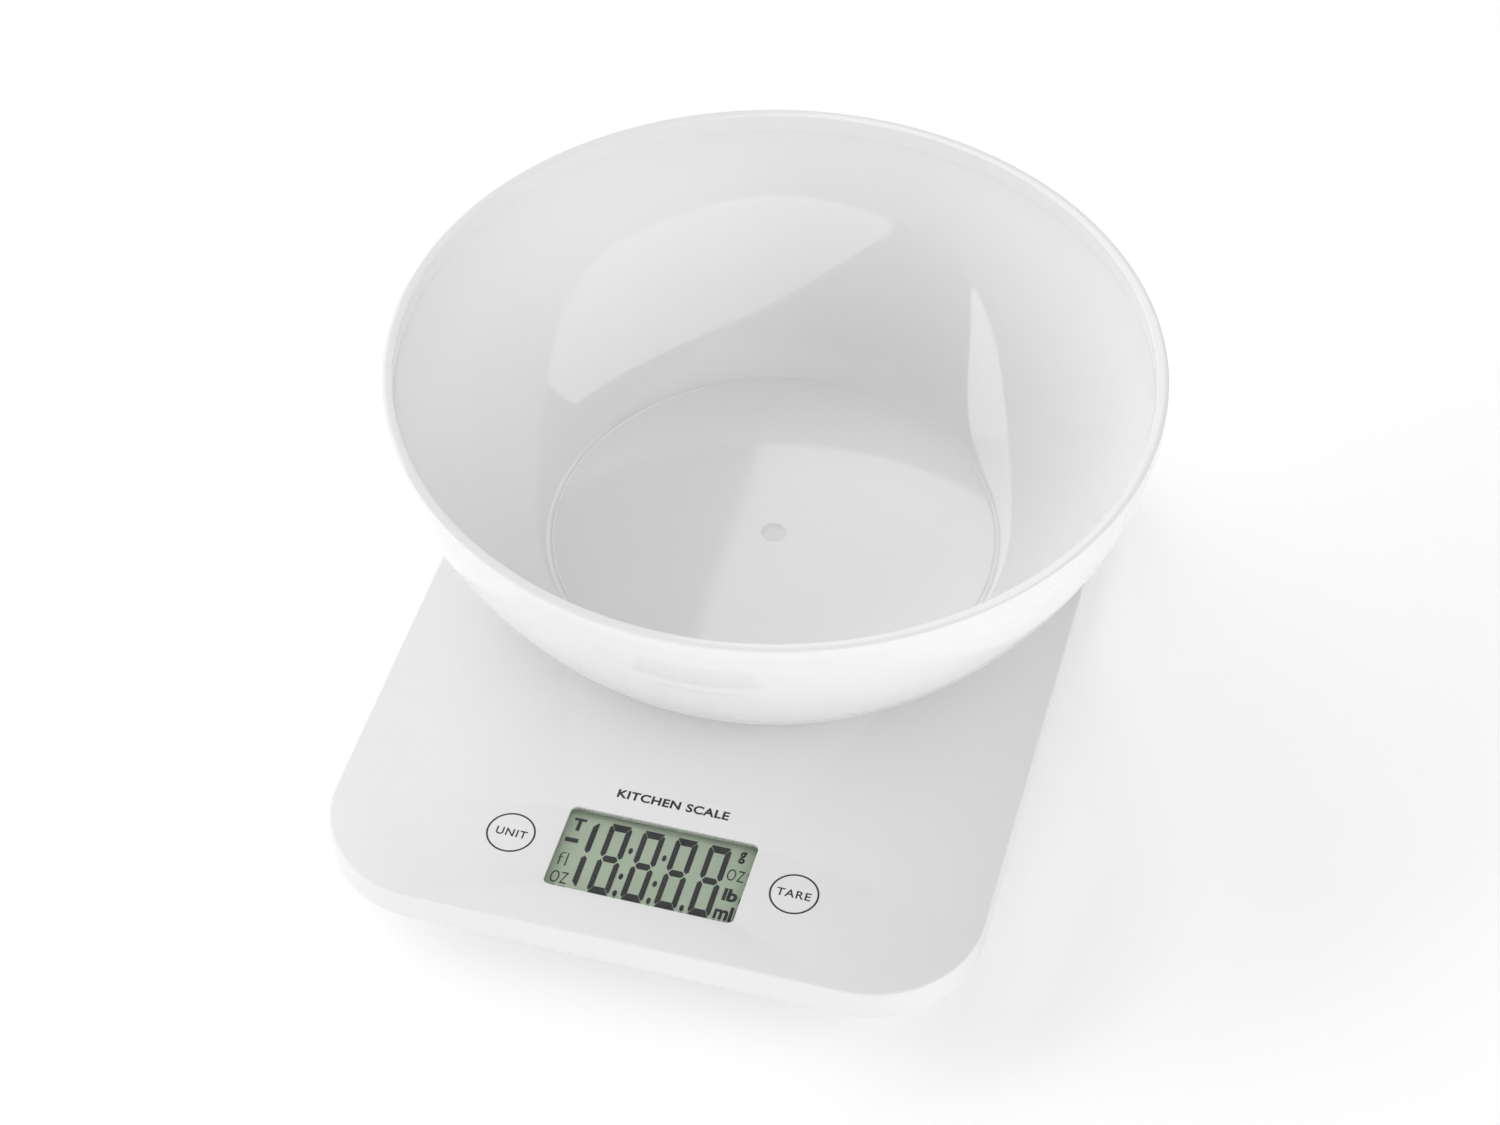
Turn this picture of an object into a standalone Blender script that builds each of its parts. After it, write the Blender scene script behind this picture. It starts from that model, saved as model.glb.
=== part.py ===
"""Flat kitchen scale: a one-piece platform on four weighing feet, with a lift-off bowl.

Metres, +Z up. The origin is on the surface that the scale stands on, under the middle of
the outer box. +Y is the back, -Y the front edge with the display, +X the right-hand side.
Heights are worked out from the feet up: pan, cover, batteries, battery bay, platform.
"""
import math

import bmesh
import bpy
from mathutils import Matrix, Vector

MM = 0.001
GAP = 0.3 * MM                  # between two pieces that touch
OVERSHOOT = 1.0 * MM            # how far a cutter runs past the face that it opens
ROOTED = 0.5 * MM               # how far a post or a wall is sunk into what carries it

# Platform
PLATE_WIDTH = 150 * MM
PLATE_DEPTH = 200 * MM
PLATE_CORNER = 25.5 * MM
SKIRT_HEIGHT = 7.3 * MM
SKIRT_WALL = 2.0 * MM
TOP_WALL = 2.1 * MM
TOP_EDGE_ROUND = 0.6 * MM

# Bowl, heights above its own underside
BOWL_FROM_REAR = 74.2 * MM      # axis to the platform's rear edge
BOWL_BASE_RADIUS = 53.5 * MM
BOWL_BASE_PULL = 11.0 * MM      # how far the flat base runs on into the wall's curve
BOWL_WALL_RADIUS = 89.3 * MM
BOWL_WALL_HEIGHT = 54.6 * MM
BOWL_WALL_PULL = 19.0 * MM      # how far the upright rim runs down into the wall's curve
BOWL_WALL = 2.2 * MM
BAND_PROUD = 0.45 * MM          # how far the rim's band stands out from the wall
BAND_HEIGHT = 4.1 * MM
RIM_WIDTH = 2.65 * MM
RIM_ROUND = 0.5 * MM
GATE_MARK_RADIUS = 3.0 * MM
GATE_MARK_DEPTH = 0.5 * MM

# Pan-shaped lower casing
UNDERSIDE_Z = 2.6 * MM
PAN_INSET = 11.0 * MM
PAN_WALL = 1.6 * MM
PAN_EDGE_ROUND = 0.8 * MM
FLANGE_THICKNESS = 1.5 * MM

# Batteries, their bay and their contacts
BATTERY_RADIUS = 5.25 * MM
BATTERY_LENGTH = 44.5 * MM
BATTERY_NUB_RADIUS = 1.9 * MM
BATTERY_NUB_LENGTH = 1.0 * MM
BATTERY_EDGE = 0.6 * MM         # slope where the side meets the end
BATTERY_BETWEEN = 0.4 * MM
BAY_FROM_FRONT = 66.0 * MM
BAY_WALL = 1.2 * MM
BAY_ROOF = 1.0 * MM
CONTACT_THICKNESS = 0.4 * MM
CONTACT_WIDTH = 8.4 * MM
CONTACT_SPRING_LENGTH = 3.5 * MM
CONTACT_SPRING_RADIUS = 3.4 * MM
CONTACT_SPRING_TIP = 2.2 * MM
CONTACT_WIRE_RADIUS = 0.3 * MM
CONTACT_SPRING_TURNS = 2.5

# Battery cover
COVER_THICKNESS = 1.4 * MM
COVER_CLEARANCE = 0.35 * MM
COVER_CORNER = 0.8 * MM
HOOK_WIDTH = 6.0 * MM
HOOK_SPACING = 34.0 * MM
HOOK_REACH = 1.5 * MM
HOOK_ROOT = 1.2 * MM
HOOK_THICKNESS = 1.0 * MM
HOOK_SWING_ROOM = 0.8 * MM
HOOK_SLOT_DIP = 0.1 * MM        # how far its slot reaches below the pan's floor
LATCH_WIDTH = 12.0 * MM
LATCH_HEIGHT = 2.0 * MM
LATCH_THICKNESS = 0.9 * MM
LATCH_SLIT_WIDTH = 1.0 * MM
LATCH_SLIT_LENGTH = 6.0 * MM

# Display: the clear opening, then the pieces below it from the top down
WINDOW_WIDTH = 43.5 * MM
WINDOW_DEPTH = 22.75 * MM
WINDOW_FROM_FRONT = 11.37 * MM
WINDOW_CORNER = 1.5 * MM
GLASS_MARGIN = 1.5 * MM
GLASS_LEDGE = 2.5 * MM          # contact ledge at the back of the front glass
LENS_THICKNESS = 0.9 * MM       # its flange, behind the opening's edge
LENS_RECESS = 0.25 * MM         # how far its raised middle lies below the platform's top
GLASS_THICKNESS = 0.8 * MM
REFLECTOR_THICKNESS = 0.2 * MM
FRAME_WALL = 1.2 * MM
FRAME_FLOOR = 0.5 * MM
FRAME_LIP = 2.0 * MM
FRAME_REAR_LIP = 0.6 * MM
ZEBRA_WIDTH = 1.6 * MM
TUB_WALL = 1.2 * MM             # casing below the display frame

# Board, touch keys and small electrical pieces
KEY_FROM_WINDOW = 10.85 * MM    # key centre from the side of the clear opening
KEY_FROM_FRONT = 22.9 * MM
KEY_SPRING_RADIUS = 4.0 * MM
KEY_SPRING_WIRE_RADIUS = 0.3 * MM
KEY_SPRING_TURNS = 3.5
BOARD_MARGIN = 4.4 * MM         # past the key centres
BOARD_CLEARANCE = 0.5 * MM
BOARD_THICKNESS = 1.2 * MM
BOARD_CORNER = 1.5 * MM
BOARD_DEPTH = 32.9 * MM
BOARD_POST_SPACING = 40.0 * MM
BOARD_POST_FROM_BOARD_REAR = 3.2 * MM
BOARD_POST_RADIUS = 3.0 * MM
BOARD_SCREW_RADIUS = 1.0 * MM
BOARD_SCREW_HEAD_RADIUS = 2.0 * MM
BOARD_SCREW_HEAD_HEIGHT = 1.0 * MM
BOARD_SCREW_LENGTH = 5.0 * MM
CHIP_X = -10.0 * MM
CHIP_RADIUS = 5.0 * MM
CHIP_HEIGHT = 1.2 * MM
CAPACITOR_X = 10.0 * MM
CAPACITOR_RADIUS = 2.0 * MM
CAPACITOR_HEIGHT = 3.5 * MM
CAPACITOR_EDGE = 0.3 * MM

# Case screws and their towers
SCREW_RADIUS = 1.3 * MM
SCREW_HEAD_RADIUS = 2.7 * MM
SCREW_HEAD_HEIGHT = 1.5 * MM
SCREW_SEAT_HEIGHT = 3.4 * MM    # above the underside
TOWER_WALL = 1.2 * MM
TOWER_HEIGHT = 7.4 * MM         # above the underside
BOSS_WALL = 1.6 * MM
BOSS_TIP = 1.4 * MM             # solid end of the boss above the screw
SCREW_FROM_SIDE = 19.0 * MM
FRONT_SCREWS_FROM_FRONT = 47.0 * MM
MIDDLE_SCREWS_FROM_REAR = 82.0 * MM
REAR_SCREWS_FROM_REAR = 22.0 * MM
REAR_SCREW_SPACING = 40.0 * MM

# Weighing feet and load cells
FOOT_INSET = 28.5 * MM          # foot centre from both edges
PAD_RADIUS = 8.0 * MM
PAD_HEIGHT = 1.2 * MM
PAD_EDGE = 0.3 * MM
FOOT_STEM_RADIUS = 6.0 * MM
FOOT_HOLE_CLEARANCE = 0.5 * MM
FOOT_FLANGE_OVERHANG = 1.5 * MM
FOOT_FLANGE_HEIGHT = 1.2 * MM
FOOT_NUB_RADIUS = 2.0 * MM
FOOT_TRAVEL = 0.3 * MM
CELL_SIZE = 20.0 * MM
CELL_CORNER = 1.5 * MM
CELL_THICKNESS = 1.2 * MM
CELL_TONGUE = 8.0 * MM
CELL_SLOT = 1.0 * MM
CELL_SEAT = 1.4 * MM            # width of the ledge that carries the cell
WELL_WALL = 1.2 * MM
RETAINER_WIDTH = 3.0 * MM
RETAINER_THICKNESS = 1.2 * MM
GAUGE_WIDTH = 7.0 * MM
GAUGE_DEPTH = 2.6 * MM
GAUGE_THICKNESS = 0.7 * MM
CELL_LEAD_RADIUS = 0.9 * MM
BATTERY_LEAD_RADIUS = 0.6 * MM
LEAD_NOTCH = 3.0 * MM


def in_mm(*offsets):
    return [tuple(value * MM for value in offset) for offset in offsets]


# Hand-placed knots of the leads, from a named place: towards the middle, to the rear and up
FRONT_LEAD_LEAVES = in_mm((0.0, 0.0, 0.0), (3.0, 0.5, -0.6), (8.0, 3.0, -0.6))
FRONT_LEAD_ARRIVES = in_mm((10.2, 5.4, -2.9), (12.0, 6.5, -2.1), (12.2, 6.6, 0.0))
REAR_LEAD_LEAVES = in_mm((0.0, 0.0, 0.0), (0.0, -4.0, -0.8))
REAR_LEAD_SETTLES = in_mm((1.0, -14.0, 0.0))
REAR_LEAD_HALFWAY = in_mm((1.5, 0.0, 0.0))
REAR_LEAD_PASSES_BAY = in_mm((2.0, 14.0, 0.0), (5.0, -6.0, 0.0))
REAR_LEAD_TURNS_IN = in_mm((-0.7, 9.0, 0.6))
REAR_LEAD_ARRIVES = in_mm((4.6, 1.0, -1.8), (4.6, 1.0, 0.0))
BATTERY_LEAD_RUN = 2.4 * MM     # from the bay's wall to where the two leads run forwards
BATTERY_LEADS_APART = 2.4 * MM
BATTERY_LEAD_DROP = 1.5 * MM    # below the battery's axis
BATTERY_LEAD_TURNS = in_mm((0.0, -1.0, -1.7))
BATTERY_LEAD_PASSES_BAY = in_mm((0.0, 0.0, -2.2))
BATTERY_LEAD_ARRIVES = in_mm((1.5, 2.0, -1.8), (2.5, -3.0, -1.2), (2.6, -3.8, 0.0))
LEAD_STEPS = 3                  # points between two knots

# Fineness of round shapes
CORNER_STEPS = 8
BOWL_STEPS = 40
WALL_CURVE_STEPS = 8
ROUND_STEPS = 20
SMALL_STEPS = 12
COIL_STEPS = 9

# Places worked out from the sizes above
BOWL_FROM_FRONT = PLATE_DEPTH - BOWL_FROM_REAR
BAND_RADIUS = BOWL_WALL_RADIUS + BAND_PROUD
BACKMOST = max(PLATE_DEPTH, BOWL_FROM_FRONT + BAND_RADIUS)
FRONTMOST = min(0.0, BOWL_FROM_FRONT - BAND_RADIUS)
FRONT_Y = -(BACKMOST + FRONTMOST) / 2
REAR_Y = FRONT_Y + PLATE_DEPTH
BOWL_Y = FRONT_Y + BOWL_FROM_FRONT

KEY_X = WINDOW_WIDTH / 2 + KEY_FROM_WINDOW

PAN_FLOOR_Z = UNDERSIDE_Z + PAN_WALL
COVER_TOP_Z = UNDERSIDE_Z + COVER_THICKNESS
BATTERY_Z = COVER_TOP_Z + GAP + BATTERY_RADIUS
BAY_CEILING_Z = BATTERY_Z + BATTERY_RADIUS + GAP
BAY_TOP_Z = BAY_CEILING_Z + BAY_ROOF
CEILING_Z = BAY_TOP_Z + GAP     # underside of the platform's wall
PLATFORM_Z = CEILING_Z + TOP_WALL
SKIRT_Z = PLATFORM_Z - SKIRT_HEIGHT
FLANGE_TOP_Z = SKIRT_Z + FLANGE_THICKNESS

FOOT_FLANGE_Z = PAN_FLOOR_Z + GAP
CELL_SEAT_Z = FOOT_FLANGE_Z + FOOT_FLANGE_HEIGHT + FOOT_TRAVEL + GAP
CELL_Z = CELL_SEAT_Z + GAP
RETAINER_Z = CELL_Z + CELL_THICKNESS + GAP
WELL_TOP_Z = RETAINER_Z + RETAINER_THICKNESS
BOARD_Z = WELL_TOP_Z + GAP
BOARD_TOP_Z = BOARD_Z + BOARD_THICKNESS

FRONT_GLASS_Z = CEILING_Z - GAP - GLASS_THICKNESS
BACK_GLASS_Z = FRONT_GLASS_Z - GAP - GLASS_THICKNESS
REFLECTOR_Z = BACK_GLASS_Z - GAP - REFLECTOR_THICKNESS
FRAME_FLOOR_TOP_Z = REFLECTOR_Z - GAP
FRAME_Z = FRAME_FLOOR_TOP_Z - FRAME_FLOOR

BAY_Y = FRONT_Y + BAY_FROM_FRONT
BAY_HALF_WIDTH = 2 * BATTERY_RADIUS + 1.5 * BATTERY_BETWEEN
BAY_HALF_LENGTH = (BATTERY_LENGTH + CONTACT_SPRING_LENGTH + 2 * CONTACT_THICKNESS + 5 * GAP) / 2
BATTERY_OFFSET_Y = BATTERY_RADIUS + BATTERY_BETWEEN / 2
CONTACT_X = BAY_HALF_LENGTH - GAP - CONTACT_THICKNESS    # inner face of an end contact

SCREW_SEAT_Z = UNDERSIDE_Z + SCREW_SEAT_HEIGHT
TOWER_TOP_Z = UNDERSIDE_Z + TOWER_HEIGHT
SCREW_HOLE_RADIUS = SCREW_RADIUS + GAP
SCREW_HEAD_HOLE_RADIUS = SCREW_HEAD_RADIUS + GAP
SCREW_HOLE_TOP_Z = CEILING_Z - BOSS_TIP

BOARD_HALF_WIDTH = KEY_X + BOARD_MARGIN
BOARD_FRONT_Y = FRONT_Y + PAN_INSET + PAN_WALL + BOARD_CLEARANCE
BOARD_REAR_Y = BOARD_FRONT_Y + BOARD_DEPTH
BOARD_POST_Y = BOARD_REAR_Y - BOARD_POST_FROM_BOARD_REAR
BOARD_SCREW_HOLE_RADIUS = BOARD_SCREW_RADIUS + GAP

SIDES = {"left": -1, "right": 1}
CASE_SCREWS = {
    "front": (PLATE_WIDTH / 2 - SCREW_FROM_SIDE, FRONT_Y + FRONT_SCREWS_FROM_FRONT),
    "middle": (PLATE_WIDTH / 2 - SCREW_FROM_SIDE, REAR_Y - MIDDLE_SCREWS_FROM_REAR),
    "rear": (REAR_SCREW_SPACING / 2, REAR_Y - REAR_SCREWS_FROM_REAR),
}
FOOT_ROWS = {"front": FRONT_Y + FOOT_INSET, "rear": REAR_Y - FOOT_INSET}
FOOT_X = PLATE_WIDTH / 2 - FOOT_INSET
WELL_HALF = CELL_SIZE / 2 + GAP + WELL_WALL


# ---------------------------------------------------------------- scene and materials

def clear_scene():
    for obj in list(bpy.data.objects):
        bpy.data.objects.remove(obj, do_unlink=True)


def new_collection(name):
    collection = bpy.data.collections.new(name)
    bpy.context.scene.collection.children.link(collection)
    return collection


def plain_material(name, colour, roughness, metallic=0.0):
    material = bpy.data.materials.new(name)
    material.use_nodes = True
    shader = material.node_tree.nodes["Principled BSDF"]
    shader.inputs["Base Color"].default_value = (*colour, 1.0)
    shader.inputs["Roughness"].default_value = roughness
    shader.inputs["Metallic"].default_value = metallic
    return material


clear_scene()
PARTS = new_collection("kitchen_scale")
CUTTERS = new_collection("cutters")


def place(obj, material):
    """Put a finished piece in the object's collection with its own material."""
    obj.data.materials.clear()
    obj.data.materials.append(material)
    PARTS.objects.link(obj)
    return obj


def as_cutter(obj):
    CUTTERS.objects.link(obj)
    obj.hide_render = True
    obj.display_type = "WIRE"
    return obj


def hang(obj, empty):
    """Parent a piece to its joint's empty and leave it where it is."""
    obj.parent = empty
    obj.matrix_parent_inverse = Matrix.Translation(-empty.location)


def joint_empty(name, location):
    empty = bpy.data.objects.new(name, None)
    empty.location = location
    empty.empty_display_size = 10 * MM
    PARTS.objects.link(empty)
    return empty


# ---------------------------------------------------------------- shapes

def arc(centre, radius, start, end, steps):
    """Points on an arc, angles in degrees, both ends included."""
    points = []
    for step in range(steps + 1):
        angle = math.radians(start + (end - start) * step / steps)
        points.append((centre[0] + radius * math.cos(angle), centre[1] + radius * math.sin(angle)))
    return points


def rounded_rectangle(x_low, x_high, y_low, y_high, radius, steps=CORNER_STEPS):
    outline = []
    corners = (
        (x_high - radius, y_low + radius, -90),
        (x_high - radius, y_high - radius, 0),
        (x_low + radius, y_high - radius, 90),
        (x_low + radius, y_low + radius, 180),
    )
    for x, y, start in corners:
        outline += arc((x, y), radius, start, start + 90, steps)
    return outline


def rectangle(x_low, x_high, y_low, y_high):
    return [(x_low, y_low), (x_high, y_low), (x_high, y_high), (x_low, y_high)]


def plate_outline(inset):
    """The platform's outline, moved inwards."""
    half = PLATE_WIDTH / 2 - inset
    return rounded_rectangle(-half, half, FRONT_Y + inset, REAR_Y - inset, PLATE_CORNER - inset)


def slab(name, outlines, low, high):
    """A flat piece between two heights; the first outline is its edge, the others are holes."""
    curve = bpy.data.curves.new(name, "CURVE")
    curve.dimensions = "2D"
    curve.fill_mode = "BOTH"
    curve.extrude = (high - low) / 2
    for outline in outlines:
        spline = curve.splines.new("POLY")
        spline.points.add(len(outline) - 1)
        spline.use_cyclic_u = True
        for point, (x, y) in zip(spline.points, outline):
            point.co = (x, y, 0.0, 1.0)
    flat = bpy.data.objects.new(name + "_outline", curve)
    flat.location.z = (low + high) / 2
    CUTTERS.objects.link(flat)
    return mesh_from_curve(name, flat)


def mesh_from_curve(name, curve_object):
    """Turn a curve object into a mesh object with welded caps, in the same place."""
    bpy.context.view_layer.update()
    evaluated = curve_object.evaluated_get(bpy.context.evaluated_depsgraph_get())
    mesh = bpy.data.meshes.new_from_object(evaluated)
    mesh.name = name
    work = bmesh.new()
    work.from_mesh(mesh)
    bmesh.ops.remove_doubles(work, verts=work.verts, dist=0.01 * MM)
    bmesh.ops.recalc_face_normals(work, faces=work.faces)
    work.to_mesh(mesh)
    work.free()
    obj = bpy.data.objects.new(name, mesh)
    obj.matrix_world = curve_object.matrix_world
    curve = curve_object.data
    bpy.data.objects.remove(curve_object, do_unlink=True)
    bpy.data.curves.remove(curve)
    return obj


def add_box(work, low, high):
    size = [b - a for a, b in zip(low, high)]
    middle = [(a + b) / 2 for a, b in zip(low, high)]
    matrix = Matrix.Translation(middle) @ Matrix.Diagonal((*size, 1.0))
    bmesh.ops.create_cube(work, size=1.0, matrix=matrix)


def add_post(work, x, y, radius, low, high, steps=ROUND_STEPS):
    bmesh.ops.create_cone(
        work, cap_ends=True, segments=steps, radius1=radius, radius2=radius,
        depth=high - low, matrix=Matrix.Translation((x, y, (low + high) / 2)),
    )


def from_bmesh(name, work):
    mesh = bpy.data.meshes.new(name)
    work.to_mesh(mesh)
    work.free()
    return bpy.data.objects.new(name, mesh)


def box(name, low, high):
    """A box with its origin in its middle."""
    size = [b - a for a, b in zip(low, high)]
    work = bmesh.new()
    bmesh.ops.create_cube(work, size=1.0, matrix=Matrix.Diagonal((*size, 1.0)))
    obj = from_bmesh(name, work)
    obj.location = [(a + b) / 2 for a, b in zip(low, high)]
    return obj


def turned(name, profile, location, steps=ROUND_STEPS, rotation=(0.0, 0.0, 0.0)):
    """A shape turned about its own Z axis; the profile's outer side runs from top to bottom."""
    mesh = bpy.data.meshes.new(name)
    edges = [(i, i + 1) for i in range(len(profile) - 1)]
    mesh.from_pydata([(r, 0.0, z) for r, z in profile], edges, [])
    obj = bpy.data.objects.new(name, mesh)
    obj.location = location
    obj.rotation_euler = rotation
    screw = obj.modifiers.new("turn", "SCREW")
    screw.steps = steps
    screw.render_steps = steps
    screw.use_merge_vertices = True
    screw.merge_threshold = 0.02 * MM
    return obj


def wire(name, points, radius, location=(0.0, 0.0, 0.0), rotation=(0.0, 0.0, 0.0)):
    """A round wire through the given points, with filled ends."""
    curve = bpy.data.curves.new(name, "CURVE")
    curve.dimensions = "3D"
    curve.bevel_depth = radius
    curve.bevel_resolution = 1
    curve.use_fill_caps = True
    spline = curve.splines.new("POLY")
    spline.points.add(len(points) - 1)
    for point, position in zip(spline.points, points):
        point.co = (*position, 1.0)
    obj = bpy.data.objects.new(name, curve)
    obj.location = location
    obj.rotation_euler = rotation
    return obj


def coil_points(radius_low, radius_high, height, turns):
    """A coil about Z that rises and tapers evenly."""
    points = []
    count = int(turns * COIL_STEPS)
    for i in range(count + 1):
        share = i / count
        angle = 2 * math.pi * turns * share
        radius = radius_low + (radius_high - radius_low) * share
        points.append((radius * math.cos(angle), radius * math.sin(angle), height * share))
    return points


def smooth_route(knots, per_span):
    """Catmull-Rom points through hand-placed knots."""
    knots = [Vector(knot) for knot in knots]
    padded = [2 * knots[0] - knots[1], *knots, 2 * knots[-1] - knots[-2]]
    points = [knots[0]]
    for a, b, c, d in zip(padded, padded[1:], padded[2:], padded[3:]):
        for step in range(1, per_span + 1):
            t = step / per_span
            points.append(
                0.5 * (2 * b + (c - a) * t + (2 * a - 5 * b + 4 * c - d) * t ** 2
                       + (3 * b - a - 3 * c + d) * t ** 3)
            )
    return points


def combine(obj, other, operation):
    """Join or cut a piece with a helper solid, which is kept as a hidden cutter."""
    as_cutter(other)
    modifier = obj.modifiers.new(other.name, "BOOLEAN")
    modifier.operation = operation
    modifier.solver = "EXACT"
    modifier.object = other


def round_edges(obj, width, segments):
    bevel = obj.modifiers.new("round_edges", "BEVEL")
    bevel.width = width
    bevel.segments = segments
    bevel.limit_method = "ANGLE"
    bevel.angle_limit = math.radians(40)


# ---------------------------------------------------------------- bowl

def bezier(start, pull_start, pull_end, end, steps):
    points = []
    for step in range(steps + 1):
        t = step / steps
        s = 1 - t
        points.append(tuple(
            s ** 3 * a + 3 * s * s * t * b + 3 * s * t * t * c + t ** 3 * d
            for a, b, c, d in zip(start, pull_start, pull_end, end)
        ))
    return points


def offset_left(points, distance):
    """Points moved to the left of the way the line runs."""
    moved = []
    for i, (x, y) in enumerate(points):
        before = points[max(i - 1, 0)]
        after = points[min(i + 1, len(points) - 1)]
        along = Vector((after[0] - before[0], after[1] - before[1])).normalized()
        moved.append((x - along.y * distance, y + along.x * distance))
    return moved


def bowl_profile():
    """From the middle of the floor up the inside, over the rim and down the outside."""
    wall = bezier(
        (BOWL_BASE_RADIUS, 0.0),
        (BOWL_BASE_RADIUS + BOWL_BASE_PULL, 0.0),
        (BOWL_WALL_RADIUS, BOWL_WALL_HEIGHT - BOWL_WALL_PULL),
        (BOWL_WALL_RADIUS, BOWL_WALL_HEIGHT),
        WALL_CURVE_STEPS,
    )
    inside = offset_left(wall, BOWL_WALL)
    top = BOWL_WALL_HEIGHT + BAND_HEIGHT
    rim_in = BAND_RADIUS - RIM_WIDTH
    floor = [
        (0.0, BOWL_WALL - GATE_MARK_DEPTH),
        (GATE_MARK_RADIUS / 2, BOWL_WALL - GATE_MARK_DEPTH),
        (GATE_MARK_RADIUS, BOWL_WALL),
    ]
    rim = arc((rim_in + RIM_ROUND, top - RIM_ROUND), RIM_ROUND, 180, 90, 2)
    rim += arc((BAND_RADIUS - RIM_ROUND, top - RIM_ROUND), RIM_ROUND, 90, 0, 2)
    band = [(BAND_RADIUS, BOWL_WALL_HEIGHT)]
    return floor + inside + rim + band + wall[::-1] + [(0.0, 0.0)]


def make_bowl():
    empty = joint_empty("bowl_axis", (0.0, BOWL_Y, PLATFORM_Z))
    bowl = turned("bowl", bowl_profile(), (0.0, BOWL_Y, PLATFORM_Z + GAP), BOWL_STEPS)
    hang(place(bowl, WHITE_GLOSS), empty)


# ---------------------------------------------------------------- platform

def window_outline(grow):
    half = WINDOW_WIDTH / 2 + grow
    front = FRONT_Y + WINDOW_FROM_FRONT
    return rounded_rectangle(
        -half, half, front - grow, front + WINDOW_DEPTH + grow, WINDOW_CORNER + grow, 4
    )


def make_top_shell():
    shell = slab("top_shell", [plate_outline(0.0)], SKIRT_Z, PLATFORM_Z)
    round_edges(shell, TOP_EDGE_ROUND, 2)
    hollow = slab("top_hollow", [plate_outline(SKIRT_WALL)], SKIRT_Z - OVERSHOOT, CEILING_Z)
    combine(shell, hollow, "DIFFERENCE")

    bosses = bmesh.new()
    boss_holes = bmesh.new()
    for x, y in CASE_SCREWS.values():
        for side in SIDES.values():
            boss_radius = SCREW_HOLE_RADIUS + BOSS_WALL
            boss_low = TOWER_TOP_Z + GAP
            add_post(bosses, side * x, y, boss_radius, boss_low, CEILING_Z + ROOTED, SMALL_STEPS)
            add_post(boss_holes, side * x, y, SCREW_HOLE_RADIUS, boss_low - OVERSHOOT,
                     SCREW_HOLE_TOP_Z, SMALL_STEPS)
    combine(shell, from_bmesh("screw_bosses", bosses), "UNION")
    combine(shell, from_bmesh("screw_boss_holes", boss_holes), "DIFFERENCE")

    window = slab("window_cut", [window_outline(0.0)], CEILING_Z - OVERSHOOT, PLATFORM_Z + OVERSHOOT)
    combine(shell, window, "DIFFERENCE")
    pocket_top = CEILING_Z + LENS_THICKNESS + GAP
    pocket = slab("lens_pocket", [window_outline(GLASS_MARGIN + GAP)], CEILING_Z - OVERSHOOT, pocket_top)
    combine(shell, pocket, "DIFFERENCE")
    place(shell, WHITE_SATIN)


# ---------------------------------------------------------------- display

GLASS_HALF = WINDOW_WIDTH / 2 + GLASS_MARGIN
GLASS_FRONT_Y = FRONT_Y + WINDOW_FROM_FRONT - GLASS_MARGIN
BACK_GLASS_REAR_Y = GLASS_FRONT_Y + WINDOW_DEPTH + 2 * GLASS_MARGIN
FRONT_GLASS_REAR_Y = BACK_GLASS_REAR_Y + GLASS_LEDGE
FRAME_GROW = GAP + FRAME_WALL


def frame_outline(grow):
    return rectangle(
        -GLASS_HALF - grow, GLASS_HALF + grow, GLASS_FRONT_Y - grow, FRONT_GLASS_REAR_Y + grow
    )


def make_display():
    lens = slab("display_lens", [window_outline(GLASS_MARGIN)], CEILING_Z, CEILING_Z + LENS_THICKNESS)
    raised = slab("lens_middle", [window_outline(-GAP)], CEILING_Z + LENS_THICKNESS - ROOTED,
                  PLATFORM_Z - LENS_RECESS)
    combine(lens, raised, "UNION")
    place(lens, CLEAR)

    sheets = (
        ("lcd_front_glass", FRONT_GLASS_Z, GLASS_THICKNESS, FRONT_GLASS_REAR_Y, CLEAR),
        ("lcd_back_glass", BACK_GLASS_Z, GLASS_THICKNESS, BACK_GLASS_REAR_Y, LCD_GREEN),
        ("lcd_reflector", REFLECTOR_Z, REFLECTOR_THICKNESS, BACK_GLASS_REAR_Y, LCD_GREEN),
    )
    for name, low, thickness, rear, material in sheets:
        sheet = box(name, (-GLASS_HALF, GLASS_FRONT_Y, low), (GLASS_HALF, rear, low + thickness))
        place(sheet, material)

    frame = slab("lcd_frame", [frame_outline(FRAME_GROW)], FRAME_Z, CEILING_Z - GAP)
    nest = slab("lcd_nest", [frame_outline(GAP)], FRAME_FLOOR_TOP_Z, CEILING_Z + OVERSHOOT)
    combine(frame, nest, "DIFFERENCE")
    opening = rectangle(
        -GLASS_HALF + FRAME_LIP, GLASS_HALF - FRAME_LIP,
        GLASS_FRONT_Y + FRAME_LIP, FRONT_GLASS_REAR_Y - FRAME_REAR_LIP,
    )
    floor_cut = slab("lcd_frame_opening", [opening], FRAME_Z - OVERSHOOT, CEILING_Z)
    combine(frame, floor_cut, "DIFFERENCE")
    place(frame, WHITE_SATIN)

    zebra_front = BACK_GLASS_REAR_Y + GAP
    zebra = box(
        "zebra_strip",
        (-GLASS_HALF + 2 * FRAME_LIP, zebra_front, BOARD_TOP_Z + GAP),
        (GLASS_HALF - 2 * FRAME_LIP, zebra_front + ZEBRA_WIDTH, FRONT_GLASS_Z - GAP),
    )
    place(zebra, RUBBER)


# ---------------------------------------------------------------- board

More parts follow.
